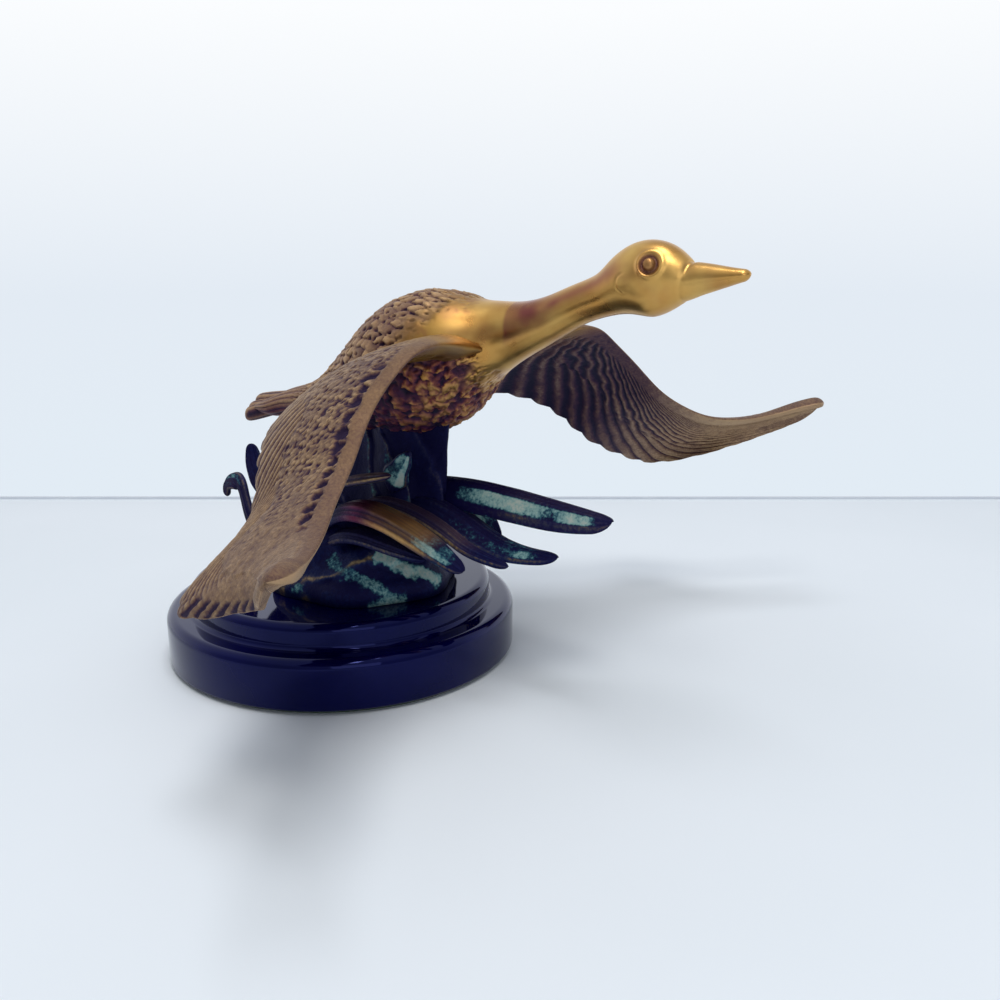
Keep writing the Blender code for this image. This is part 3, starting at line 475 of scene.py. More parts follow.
# Each reed's way from root to tip in shares of the mound's radius and height, its width, how far
# its edges drop below the midrib, and where its face looks. Green is how much verdigris the
# under face and the far and near halves of the upper face carry, greenFrom is how far along it is
# all there, rubbed is how bright the edges are, and gold says from where to where along it the far
# half is rubbed to the metal and how much, with a wine red stain before it. Tip is how wide it ends.
reeds = {
    "reed_forward_long": dict(
        way=[(0.54, 0.29, 1.36), (1.27, 0.35, 1.40), (2.06, 0.41, 1.32), (2.83, 0.44, 1.24)],
        width=15, fold=0.75, face=(0, -0.35, 1), green=(0.8, 0.1, 0.74), greenFrom=0.45,
        rubbed=0.5, gold=(0.55, 1.0, 0.16),
    ),
    "reed_forward_broad": dict(
        way=[(0.16, 0.10, 0.76), (0.60, 0.10, 1.16), (1.17, 0.13, 1.10),
             (1.75, 0.16, 0.80), (2.41, 0.19, 0.78)],
        width=12, fold=0.4, face=(0, -0.3, 1), green=(0.3, 0.46, 0.58), greenFrom=0.85,
        rubbed=0.7, gold=(0.3, 0.7, 0.1),
    ),
    "reed_forward_slim": dict(
        way=[(0.10, -0.29, 0.68), (0.48, -0.25, 1.18), (1.21, -0.22, 1.08),
             (1.68, -0.22, 0.84), (2.13, -0.19, 0.72)],
        width=6, fold=0.3, face=(0, -0.3, 1), green=(0.2, 0.1, 0.34), greenFrom=0.9,
        rubbed=1.0, gold=(0.05, 0.7, 0.3),
    ),
    "reed_near_arched": dict(
        way=[(-0.16, -0.44, 0.64), (0.32, -0.54, 1.12), (0.86, -0.54, 1.18),
             (1.43, -0.52, 0.96), (1.87, -0.51, 0.70)],
        width=10, fold=0.4, face=(0, -0.5, 1), green=(0.3, 0.62, 0.78), greenFrom=0.9,
        rubbed=1.0, gold=(0.5, 0.7, 0.85),
    ),
    "reed_near_low": dict(
        way=[(-0.10, -0.51, 0.48), (0.38, -0.56, 0.82), (0.86, -0.54, 0.82), (1.43, -0.54, 0.74)],
        width=7, fold=0.3, face=(0, -0.5, 1), green=(0.2, 0.2, 0.3), greenFrom=0.9,
        rubbed=0.7, gold=(0.2, 0.8, 0.15),
    ),
    "reed_drooping": dict(
        way=[(0.35, 0.51, 0.80), (0.73, 0.76, 1.12), (0.98, 0.83, 0.88), (1.21, 0.84, 0.52)],
        width=8, fold=0.3, face=(0.3, -0.6, 1), green=(0.75, 0.5, 0.7), greenFrom=0.5,
        rubbed=0.8, gold=(0.2, 0.7, 0.2),
    ),
    "leaf_under_belly": dict(
        way=[(0.60, -0.10, 1.32), (0.70, -0.19, 1.48), (0.83, -0.22, 1.68), (0.95, -0.21, 1.88)],
        width=9.5, fold=0.3, face=(0.5, -1, 0.2), green=(0.5, 0.66, 0.95), greenFrom=0.35,
        rubbed=0.8, gold=(0.0, 0.5, 0.1), tip=0.1,
    ),
    "sprig_near": dict(
        way=[(-0.10, -0.25, 0.80), (0.03, -0.38, 1.24), (0.41, -0.44, 1.48), (0.86, -0.38, 1.60)],
        width=5, fold=0.2, face=(0, -0.5, 1), green=(0.4, 0.4, 0.45), greenFrom=0.6,
        rubbed=1.0, gold=(0.4, 1.0, 0.4),
    ),
    "reed_rear_upright": dict(
        way=[(-0.60, -0.13, 0.32), (-1.08, -0.25, 0.88), (-1.27, -0.32, 1.28), (-1.33, -0.32, 1.64)],
        width=8, fold=0.3, face=(0.6, -1, 0.2), green=(0.2, 0.1, 0.2), greenFrom=0.8,
        rubbed=0.5, gold=(0.4, 0.8, 0.1),
    ),
    "reed_rear_curled": dict(
        way=[(-0.60, -0.25, 0.24), (-1.24, -0.32, 0.36), (-1.49, -0.32, 0.76),
             (-1.59, -0.32, 1.04), (-1.78, -0.32, 1.00), (-1.81, -0.32, 0.80)],
        width=7, fold=0.2, face=(-0.4, -1, 0.3), green=(0.4, 0.4, 0.6), greenFrom=0.8,
        rubbed=0.8, gold=(0.4, 1.0, 0.2),
    ),
    "reed_far_arched": dict(
        way=[(-0.22, 0.38, 0.64), (-0.35, 0.76, 1.04), (-0.60, 1.14, 1.12), (-0.86, 1.46, 0.84)],
        width=11, fold=0.4, face=(0, 0.3, 1), green=(0.4, 0.5, 0.6), greenFrom=0.8,
        rubbed=0.9, gold=(0.2, 0.7, 0.3),
    ),
    "reed_far_broad": dict(
        way=[(0.03, 0.51, 0.64), (0.03, 0.95, 1.04), (-0.06, 1.33, 1.00), (-0.22, 1.71, 0.68)],
        width=11, fold=0.4, face=(0, 0.3, 1), green=(0.5, 0.35, 0.62), greenFrom=0.8,
        rubbed=0.9, gold=(0.1, 0.6, 0.2),
    ),
    "reed_far_low": dict(
        way=[(-0.41, 0.19, 0.56), (-0.92, 0.32, 0.88), (-1.30, 0.51, 0.88), (-1.62, 0.76, 0.56)],
        width=9, fold=0.4, face=(0, 0.2, 1), green=(0.4, 0.45, 0.55), greenFrom=0.7,
        rubbed=0.8, gold=(0.2, 0.7, 0.2),
    ),
    "reed_rear_long": dict(
        way=[(-0.22, -0.13, 0.72), (-0.67, 0.00, 1.20), (-1.05, 0.10, 1.40), (-1.43, 0.16, 1.44)],
        width=8, fold=0.4, face=(-0.3, 0, 1), green=(0.4, 0.3, 0.5), greenFrom=0.8,
        rubbed=0.8, gold=(0.2, 0.8, 0.25),
    ),
}
reedBlade = {
    "thickness": 2.6, "stations": 130, "across": 27, "rib": 0.35, "ribPlace": 0.22, "rim": 0.3,
    "vein": 0.16, "veins": 7, "tipFrom": 0.93, "leastShare": 0.12,
}


def makeReed(name, shape, finish, seed):
    fractions = np.linspace(0, 1, reedBlade["stations"])
    column = np.ones_like(fractions)[:, None]
    way = naturalCurve(shape["way"], fractions) * (mound["radius"], mound["radius"], mound["height"])
    way = way + (mound["forward"], mound["left"], baseTop)
    tipFrom, tipWidth = reedBlade["tipFrom"], shape.get("tip", 0.42)
    tip = np.sqrt(np.clip(1 - np.clip((fractions - tipFrom) / (1 - tipFrom), 0, 1) ** 2, 0.02, 1))[:, None]
    swell = [[0.42], [0.86], [1.0], [0.68 + 0.6 * tipWidth], [0.45 + 0.8 * tipWidth], [tipWidth]]
    half = shape["width"] / 2 * naturalCurve(swell, fractions) * (0.15 + 0.85 * tip)
    along = unit(np.gradient(way, axis=0))
    side = unit(np.cross(along, unit(shape["face"])))
    up = np.cross(side, along)
    # the blade's section: v runs from the far edge at -1 to the near edge at 1
    v = np.sin(np.linspace(-math.pi / 2, math.pi / 2, reedBlade["across"]))[None, :]
    plate = reedBlade["thickness"] / 2 * (1 - 0.5 * v * v) * np.sqrt(np.clip(1 - v**8, 0, 1)) * tip
    grow = blendStep(0, 0.25, fractions[:, None]) * tip
    ragged = softNoise(np.stack([fractions * 9, fractions * 0, fractions * 0 + seed], -1), 1.0)[:, None]
    midrib = reedBlade["rib"] * hump(v, reedBlade["ribPlace"], 0.12)
    rim = reedBlade["rim"] * hump(np.abs(v), 0.8, 0.1)
    lines = np.cos(v * math.pi * reedBlade["veins"] + 0.8 * ragged)
    veins = reedBlade["vein"] * (lines - 1) * (1 - v**6)
    least = reedBlade["leastShare"] * plate
    upper = np.maximum(plate + (midrib + rim + veins - 0.35 * (1 - v * v)) * grow, least)
    lower = np.maximum(plate + (rim + veins - 0.6 * (1 - v * v) + 0.5 * midrib) * grow, least)
    drop = shape["fold"] * half * v * v
    line = way[:, None] + side[:, None] * (half * v * (1 + 0.035 * ragged * grow))[..., None]
    top = line + up[:, None] * (upper - drop)[..., None]
    grid = wrapped(top, line - up[:, None] * (lower + drop)[..., None], -2)
    # patina: verdigris by halves, bright edges and midrib, and a stretch rubbed to the metal
    blotch = layeredNoise(grid, 6.0, seed=seed)
    nearHalf = blendStep(0.24, 0.36, v) * column
    edge = hump(np.abs(v), 0.9, 0.12) * column
    start, end, gold = shape["gold"]
    bright = blendStep(start - 0.3, start - 0.1, fractions) * blendStep(end + 0.15, end - 0.05, fractions)
    bright = gold * bright[:, None]
    wine = blendStep(start + 0.06, start - 0.1, fractions)[:, None]
    ridge = 0.3 + (0.42 * edge + 0.2 * hump(v, reedBlade["ribPlace"], 0.09)) * shape["rubbed"] + 0.1 * lines
    under, far, near = shape["green"]
    reach = (blendStep(0.1, shape["greenFrom"], fractions) * blendStep(0.99, 0.88, fractions))[:, None]
    over = (far * (1 - nearHalf) + near * nearHalf) * reach * (1 - 0.8 * edge)
    green = wrapped(over, under * reach * (1 - 0.8 * edge), -2) * (1 + 0.55 * blotch) - 0.3 * bright
    streaky = np.clip(1 - 0.5 * nearHalf + 0.3 * lines + 0.5 * edge, 0, 1) * gold * bright
    marks = {
        "relief": np.clip(wrapped(ridge + 0.3 * bright, ridge, -2) + 0.16 * blotch, 0, 1),
        "green": np.clip(green, 0, 1),
        "shadeAndStainMark": np.maximum(0.6 * (1 - reach), wine),
        "polish": np.clip(wrapped(streaky, 0 * ridge, -2) * (1 + 0.5 * blotch), 0, 1),
    }
    seat(ringMesh(name.replace("reed_", "blade_"), grid, marks), finish, "reed_patina", name)


# Goose: one spine from the tail to the beak

goose = {
    "forward": 28.0, "left": 12.0, "lift": 95.5, "length": 88.0, "bellyPlace": 0.64, "height": 48.0,
    "width": 51.0, "pitch": 11.0, "shoulderRise": 1.0, "tailLength": 26.0, "tailDroop": 3.6,
    "tailWidth": 25.0, "tailThickness": 7.0, "neckRadius": 9.6, "waistRadius": 5.9, "headRadius": 9.2,
    "headForward": 46.0, "headRise": 21.5, "facePlace": 1.29, "browRise": 0.975, "beakLength": 16.5,
    "beakRise": 1.6,
}
# forward and up in shares of the part's length and height, then half height and half width
bodyStations = [
    (0.0, -0.34, 0.22, 0.44), (0.16, -0.30, 0.35, 0.52), (0.38, -0.18, 0.63, 0.73),
    (0.60, -0.025, 0.90, 0.92), (0.78, 0.12, 0.82, 0.85), (0.91, 0.19, 0.55, 0.62),
]
neckStations = [(0.02, 0.20, 1.02), (0.2, 0.31, 0.80)]
waistStations = [(0.4, 0.47, 1.06), (0.58, 0.64, 0.97), (0.76, 0.775, 1.04)]
headStations = [(0.9, 0.905, 0.90, 0.80), (1.05, 1, 1.03, 0.9), (1.19, 1.0, 0.84, 0.76)]
beakStations = [(0, 0.56, 0.54), (0.16, 0.48, 0.44), (0.5, 0.35, 0.36), (0.82, 0.22, 0.27), (1, 0.15, 0.18)]
jointForward = goose["forward"] + (1 - goose["bellyPlace"]) * goose["length"]


def spineRows():  # forward, up, half height and half width, from the tail's tip to the beak's
    slope = math.tan(math.radians(goose["pitch"]))
    rump = goose["forward"] - goose["bellyPlace"] * goose["length"]
    rumpUp = goose["lift"] - 0.36 * goose["height"]
    rows = []
    for back, thick, wide in ((0.7, 0.3, 0.74), (0.52, 0.46, 0.92), (0.28, 0.66, 1.0)):
        rows.append((rump - back * goose["tailLength"], rumpUp - back * goose["tailDroop"],
                     thick * goose["tailThickness"], wide * goose["tailWidth"] / 2))
    for place, rise, high, wide in bodyStations:
        rows.append((rump + place * goose["length"], goose["lift"] + rise * goose["height"],
                     high * goose["height"] / 2, wide * goose["width"] / 2))
    shoulder = goose["lift"] + slope * (jointForward - goose["forward"]) + goose["shoulderRise"]
    reach, climb = goose["headForward"], goose["headRise"]
    for place, rise, size in neckStations:
        radius = size * goose["neckRadius"]
        rows.append((jointForward + place * reach, shoulder + rise * climb, radius, radius))
    for place, rise, size in waistStations:
        radius = size * goose["waistRadius"]
        rows.append((jointForward + place * reach, shoulder + rise * climb, radius, 0.97 * radius))
    for place, rise, high, wide in headStations:
        rows.append((jointForward + place * reach, shoulder + rise * climb,
                     high * goose["headRadius"], wide * goose["headRadius"]))
    face, brow = jointForward + goose["facePlace"] * reach, shoulder + goose["browRise"] * climb
    for place, high, wide in beakStations:
        rows.append((face + place * goose["beakLength"], brow + place * goose["beakRise"],
                     high * goose["headRadius"], wide * goose["headRadius"]))
    return rows


def spineGrid(start, end, rings, sides):
    # Ellipses square to the spine. Also the turn round it, the forward place and the way along.
    fine = np.linspace(0, 1, 801)
    rows = naturalCurve(spineRows(), fine)
    first, last = np.interp([start, end], rows[:, 0], fine)
    rows = naturalCurve(spineRows(), np.linspace(first, last, rings))
    lean = np.arctan(np.gradient(rows[:, 1]) / np.gradient(rows[:, 0]))[:, None]
    turn = np.linspace(0, 2 * math.pi, sides, endpoint=False)[None, :]
    rise = rows[:, 2:3] * np.sin(turn)
    x = rows[:, :1] - rise * np.sin(lean)
    y = goose["left"] + rows[:, 3:4] * np.cos(turn)
    grid = np.stack([x, y, rows[:, 1:2] + rise * np.cos(lean)], -1)
    steps = np.hypot(np.diff(rows[:, 0]), np.diff(rows[:, 1]))
    along = np.concatenate([[0], np.cumsum(steps)])[:, None]
    return grid, turn, rows, along


def scaleFeathers(along, around, seed, length=1.75, point=1.5, stray=0.12):
    # Pointed feathers in staggered rows, tips towards growing along, each over the next row.
    # Gives the height from 0 to 1, the dark gap round each tip, how bright the tip is rubbed and
    # a value for each feather.
    row = np.floor(along)
    height = np.zeros(np.broadcast(along, around).shape)
    tip, own, gap = height.copy(), height.copy(), height.copy()
    covered = np.zeros(height.shape, bool)
    for back in (1, 0):
        number = row - back
        place = around - 0.5 * (number % 2)
        column = np.floor(place)
        cell = np.stack(np.broadcast_arrays(number, column), -1)
        luck, other = cellValue(cell, seed), cellValue(cell, seed + 40)
        v = place - column - 0.5 + 0.6 * stray * other
        u = (along - number + stray * luck) / length
        half = 0.52 * np.clip(1 - np.clip((u - 0.42) / 0.58, 0, 1) ** point, 0, 1) * (1 + stray * other)
        inside = (np.abs(v) < half) & ~covered
        share = np.clip(np.abs(v) / np.maximum(half, 1e-3), 0, 1)
        lift = (0.25 + 0.75 * np.clip(u, 0, 1)) * (1 - 0.5 * share**2.5)
        shaft = 0.1 * hump(v, 0, 0.06)
        height = np.where(inside, (lift + shaft) * (1 + 0.15 * luck), height)
        tip = np.where(inside, np.clip(u, 0, 1) ** 2 * (1 - share**2), tip)
        own = np.where(inside, luck, own)
        covered |= inside
        outside = np.maximum(np.abs(v) - half, (u - 1) * length * 0.6)
        near = hump(np.clip(outside, 0, None), 0, 0.16) * blendStep(0.3, 0.7, u)
        gap = np.maximum(gap, np.where(covered, 0, near * (0.55 + 0.45 * luck)) if back else 0 * gap)
    gap = np.maximum(gap**1.5, ~covered * 1.0)
    return np.clip(height, 0, 1.2), gap, tip, own


def scatteredPits(along, around, seed, size=(0.36, 0.22)):
    # drop-shaped pits in loosely staggered rows, one in most cells
    row = np.floor(along)
    place = around - 0.5 * (row % 2)
    column = np.floor(place)
    cell = np.stack(np.broadcast_arrays(row, column), -1)
    luck, other = cellValue(cell, seed), cellValue(cell, seed + 60)
    u = (along - row - 0.5 - 0.16 * luck) / size[0]
    v = (place - column - 0.5 - 0.2 * other) / size[1] / (1 - 0.35 * u)
    return blendStep(1.0, 0.45, np.hypot(u, v) / (0.85 + 0.25 * other)) * (luck > -0.7)


def paintedNeckReflection(grid, high):
    # Painted reflection: the dim room mirrored in the neck's sides is painted in as darker metal. It is
    # darkest in a ring behind the middle, with a streak further up and some darkening at random.
    fromJoint = grid[..., 0] - jointForward
    drift = layeredNoise(grid, 6.0, seed=23)
    ring = blendStep(0.2, 1.6, fromJoint - 5 - drift) * blendStep(24, 15, fromJoint + 2.5 * drift)
    # painted dark reflection on the upper side only, in a ring and then a streak along the neck
    stainAndShade = 0.75 * ring * blendStep(-0.7, 0.0, high + 0.2 * drift) * (0.85 + 0.3 * drift)
    streak = blendStep(16, 22, fromJoint) * blendStep(47, 36, fromJoint)
    stainAndShade = stainAndShade + 0.75 * streak * hump(high + 0.1 * drift, 0.45, 0.32)
    return np.clip(stainAndShade + 0.25 * blendStep(-0.2, 0.8, drift), 0, 1)


body = {
    "rings": 345, "sides": 300, "rowPitch": 3.2, "columns": 38, "scaleHeight": 0.6, "pitDepth": 1.0,
    "bellyHeight": 1.7, "bellyPitch": 3.7, "polishFrom": 46.5, "tailBarbs": 9, "barbHeight": 0.35,
}


def makeBody(finish):
    tailTip = spineRows()[0][0]
    grid, turn, rows, along = spineGrid(tailTip, jointForward + 0.5, body["rings"], body["sides"])
    forward = grid[..., 0]
    high = np.sin(turn) * np.ones_like(along)
    under = blendStep(0.05, -0.3, high)
    tailward = blendStep(-14, -28, forward)
    bend, wave = layeredNoise(grid, 8.0, seed=3), layeredNoise(grid, 4.0, seed=13)
    crumple, crease = layeredNoise(grid, 3.0, seed=12), layeredNoise(grid, 1.7, seed=14)
    fromNeck = along[-1] - along
    columns = turn / (2 * math.pi) * body["columns"]
    # scales on the back with pits between them
    backRows = fromNeck / body["rowPitch"] + 0.3 * bend
    back, gap, backTip, own = scaleFeathers(
        backRows + 0.2 * wave, columns + 0.3 * bend + 0.15 * wave, seed=1, stray=0.3
    )
    pits = scatteredPits(backRows, columns + 0.5 + 0.3 * bend, seed=8)
    backDepth = body["scaleHeight"] * (back - 1) - body["pitDepth"] * np.maximum(0.6 * gap, pits)
    backDepth = backDepth + 0.25 * (wave - 1)
    backRelief = 0.42 + 0.26 * back + 0.2 * backTip + 0.1 * own - 0.45 * gap - 0.6 * pits
    # crumpled feathers on the breast and belly
    belly, bellyGap, bellyTip, ownUnder = scaleFeathers(
        fromNeck / body["bellyPitch"] + 0.6 * bend + 0.35 * wave,
        columns * 0.85 + 0.5 * bend + 0.4 * crumple, seed=2, length=1.5, point=2.2, stray=0.4,
    )
    folds = np.clip(1 - np.abs(crumple + 0.5 * crease) * 1.6, -0.5, 1)
    belly = np.clip(belly * (1 - 0.8 * bellyGap) * 0.55 + 0.6 * folds, 0, 1.2)
    underRelief = 0.6 * belly - 0.12 * blendStep(42, 22, forward) + 0.12 * blendStep(34, 50, forward)
    underRelief = underRelief + 0.3 * bellyTip + 0.12 * ownUnder - 0.2 * bellyGap
    # the shoulders are polished, and the front of the breast gets bright gold flecks: bare metal, partly real
    # and partly a painted highlight
    edge = body["polishFrom"] + 4 * bend - 8 * blendStep(0.9, 0.2, high) + 17 * blendStep(0.1, -0.2, high)
    polish = blendStep(edge - 7.0, edge + 6.0, forward + 4.5 * wave + 3 * crumple)
    flecks = under * blendStep(-0.25, 0.35, layeredNoise(grid, 5.0, seed=15)) * blendStep(26, 50, forward)
    barbs = body["barbHeight"] * np.abs(np.sin(turn * body["tailBarbs"])) ** 0.7
    depth = (1 - under) * backDepth + under * body["bellyHeight"] * (belly - 1)
    depth = depth * (1 - tailward) + tailward * (barbs - body["barbHeight"])
    depth = np.minimum(depth * (1 - polish), 0) - skin
    grid = grid + gridNormals(grid) * (depth * blendStep(0, 2.2, rows[:, 2:3]))[..., None]
    relief = (1 - under) * backRelief + under * underRelief
    relief = relief * (1 - tailward) + tailward * (0.25 + 0.9 * barbs)
    relief = relief + (0.08 + 0.45 * flecks) * under * (0.5 + 0.5 * crumple)
    # the polished shoulder is darkened in random patches, and the neck's painted dark reflection reaches onto
    # it
    darkPatchesAndReflection = 0.08 + 0.3 * blendStep(0.1, 0.7, crumple) + 0.14 * blendStep(-0.2, 0.6, wave)
    darkPatchesAndReflection = darkPatchesAndReflection * blendStep(-1, -8, forward - jointForward) + paintedNeckReflection(grid, high)
    polish = np.clip(polish + 0.75 * flecks * blendStep(0.35, 0.8, belly), 0, 1)
    marks = {
        "relief": np.clip(relief, 0, 1), "polish": polish, "green": 0,
        # the underside takes the darker patina: its own colour and painted shading under the wings
        "shadeAndStainMark": np.clip(under * (1 - polish) + darkPatchesAndReflection * polish, 0, 1),
        "buffed": blendStep(-15, -2, forward - jointForward),
    }
    seat(ringMesh("feathered_body", grid, marks, sharp=75), finish, "plumage_patina", "goose_body")


tail = {
    "feathers": 5, "fan": 40.0, "width": 8.6, "thickness": 6.2, "stagger": 0.7, "sides": 72, "ridges": 4,
    "ridgeHeight": 0.3, "arch": 3.6,
}


def makeTail(finish):
    rows = spineRows()
    root = np.array([rows[3][0], goose["left"], rows[3][1]])
    angles = np.linspace(0, 2 * math.pi, tail["sides"], endpoint=False)[None, :]
    v = np.cos(angles)
    last = 0.9 + 0.1 * np.sin(np.linspace(0, math.pi / 2, 20))[1:]
    reach = np.concatenate([np.linspace(-0.1, 0.9, 40), last])[:, None]
    swell = np.sqrt(np.clip(1 - np.clip((reach - 0.55) / 0.45, 0, 1) ** 5, 0, 1)) * 0.94 + 0.06
    ridges = np.abs(np.sin(v * math.pi * tail["ridges"] / 2)) - 1
    ridges = tail["ridgeHeight"] * ridges * blendStep(0.97, 0.85, reach)
    arch = (tail["thickness"] / 2 + ridges) * np.sqrt(swell) * np.sin(angles)
    below = blendStep(0.1, -0.4, np.sin(angles)) * np.ones_like(reach)
    for number in range(tail["feathers"]):
        place = number / (tail["feathers"] - 1)
        turn = math.radians(tail["fan"]) * (place - 0.5)
        droop = goose["tailDroop"] + tail["arch"] * (2 * place - 1) ** 2
        length = goose["tailLength"] * math.cos(turn)
        tip = np.array([-length * math.cos(turn), length * math.sin(turn), -droop])
        side = np.array([math.sin(turn), math.cos(turn), 0]) * tail["width"] / 2
        grid = root + tip * reach[..., None] + side * (v * swell)[..., None]
        grid[..., 2] += arch + tail["stagger"] * (1 - 2 * (number % 2))
        relief = np.clip(0.62 + 1.8 * ridges + 0.12 * layeredNoise(grid, 2.5, seed=number), 0, 1)
        # painted shading: the underside of each feather takes the darker patina
        marks = {"relief": relief, "polish": 0, "green": 0, "shadeAndStainMark": 0.6 * below}
        seat(ringMesh(f"tail_feather_{number + 1}", grid, marks), finish, "plumage_patina")


head = {
    "rings": 430, "sides": 210, "eyeForward": 1.13, "eyeRise": 0.39, "eyeRadius": 2.3, "rimHeight": 0.62,
    "beadHeight": 0.85, "moatDepth": 0.7, "cheek": (-7.2, 0, -5.2), "cheekRadius": 2.6, "cheekDepth": 0.16,
    "mouthDepth": 0.06, "beakGroove": 0.14, "jaw": 1.1, "nib": 1.6,
}


def makeHead(finish):
    beakTip = spineRows()[-1][0]
    grid, turn, rows, along = spineGrid(jointForward + 0.1, beakTip - 0.05, head["rings"], head["sides"])
    normals = gridNormals(grid)
    forward, sideways = grid[..., 0], grid[..., 1] - goose["left"]
    high = np.sin(turn) * np.ones_like(along)
    # the neck's end stands a hair proud of the body's, which it covers
    depth = 0.02 * blendStep(2.0, 0.0, along) - skin + np.zeros_like(high)
    dirt = np.zeros_like(high)
    radius = head["eyeRadius"]
    eyeX = jointForward + head["eyeForward"] * goose["headForward"]
    station = rows[np.argmin(np.abs(rows[:, 0] - eyeX))]
    for outward in (1, -1):
        eyeY = outward * station[3] * math.cos(math.asin(head["eyeRise"]))
        centre = np.array([eyeX, goose["left"] + eyeY, station[1] + station[2] * head["eyeRise"]])
        off = (grid - centre) * (1, 1, 0.92)
        away = np.linalg.norm(off, axis=-1)
        # the socket's rim stands highest below and behind the eye
        below = 0.62 - 0.38 * (off[..., 2] + 0.5 * off[..., 0]) / np.maximum(away, 0.3)
        rim = hump(away, radius + 0.9, 0.7)
        inside = np.linalg.norm(off + np.array([0.35, 0, 0.2]), axis=-1)
        bead = np.sqrt(np.clip(1 - (inside / (radius * 0.7)) ** 2, 0, 1))
        moat = hump(inside, radius * 0.9, 0.6) * (1 - 0.6 * rim)
        depth += head["rimHeight"] * rim * below + head["beadHeight"] * bead - head["moatDepth"] * moat
        dirt += 0.9 * moat * (0.8 + 0.2 * layeredNoise(grid, 1.5, seed=51)) + 0.3 * bead
        # a fold of the cheek behind and below the eye
        cheek = centre + head["cheek"]
        fold = hump(np.linalg.norm((grid - cheek) * (1, 0.4, 1), axis=-1), head["cheekRadius"], 0.32)
        fold = fold * blendStep(cheek[0] + 0.6, cheek[0] - 1.2, forward)
        depth -= head["cheekDepth"] * fold * (np.sign(sideways) == outward)
    face = jointForward + goose["facePlace"] * goose["headForward"]
    lip = (grid[..., 2] - rows[:, 1:2]) / np.maximum(rows[:, 2:3], 0.4)
    mouth = hump(lip, -0.18, 0.13) * blendStep(face - 2.5, face + 2, forward)
    depth -= head["mouthDepth"] * mouth * blendStep(beakTip, beakTip - 3, forward)
    depth -= head["beakGroove"] * hump(forward - 1.2 * lip, face + 0.2, 0.6)
    waves = layeredNoise(grid, 12.0, seed=21)
    depth += 0.1 * (waves - 1) * blendStep(0, 3, rows[:, 2:3]) * blendStep(0, 12, forward - jointForward)
    depth += head["jaw"] * hump(forward, face - 7, 6.5) * blendStep(-0.2, -0.9, high)
    # the beak's tip is blunt
    blunt = np.clip((grid[..., :1] - beakTip + head["nib"]) / head["nib"], 0, 1)
    middle = grid.mean(axis=1, keepdims=True)
    grid = middle + (grid + normals * depth[..., None] - middle) * np.sqrt(1 - 0.97 * blunt**2)
    dirt = np.clip(dirt, 0, 1)
    marks = {
        "relief": 0.34 - 0.2 * dirt, "polish": 1 - 0.85 * dirt, "green": 0,
        # the neck's painted dark reflection, and the patina left in the eye's moat
        "shadeAndStainMark": np.clip(paintedNeckReflection(grid, high) + dirt, 0, 1), "buffed": 1,
    }
    seat(ringMesh("polished_head_and_neck", grid, marks, sharp=48), finish, "polished_brass", "head_and_neck")


# Wings

wing = {
    "reach": 130.0, "thickness": 3.8, "rootThickness": 12.0, "arch": 4.5, "feathers": 24, "step": 0.6,
    "stations": 330, "chords": 136, "scaleAlong": 2.0, "scaleAcross": 1.8, "ridges": 34, "ridgeDepth": 0.6,
    "barDepth": 0.9, "pitPitch": 4.8, "pitDepth": 1.2, "dentPitch": 4.6, "tipRounding": 0.046,
    "sweep": 0.78, "straightTo": 0.15, "broadFrom": 0.45, "tipSwell": 0.35, "tipStations": 24,
    "bandShare": 0.075, "coverShare": 0.58, "pitLane": 0.042, "dentDepth": 0.9, "smallPitch": (3.4, 3.6),
    "smallDepth": 0.6, "stepShare": 0.46, "ribDepth": 0.75, "fringe": 0.03,
}
# points on the leading and the trailing edge from root to tip, as forward, outward and up from the
# belly pin's line, in shares of the wing's reach
wingEdges = [
    ((0.246, 0.070, 0.060), (-0.27, 0.062, -0.090)),
    ((0.254, 0.160, 0.077), (-0.26, 0.154, -0.098)),
    ((0.285, 0.292, 0.085), (-0.19, 0.285, -0.112)),
    ((0.292, 0.385, 0.046), (-0.08, 0.428, -0.130)),
    ((0.308, 0.477, -0.023), (0.012, 0.525, -0.183)),
    ((0.338, 0.554, -0.096), (0.069, 0.608, -0.265)),
    ((0.377, 0.635, -0.150), (0.100, 0.754, -0.335)),
    ((0.431, 0.715, -0.182), (0.177, 0.823, -0.358)),
    ((0.508, 0.812, -0.181), (0.354, 0.815, -0.304)),
    ((0.585, 0.892, -0.155), (0.492, 0.900, -0.242)),
    ((0.642, 0.965, -0.142), (0.592, 0.985, -0.188)),
]


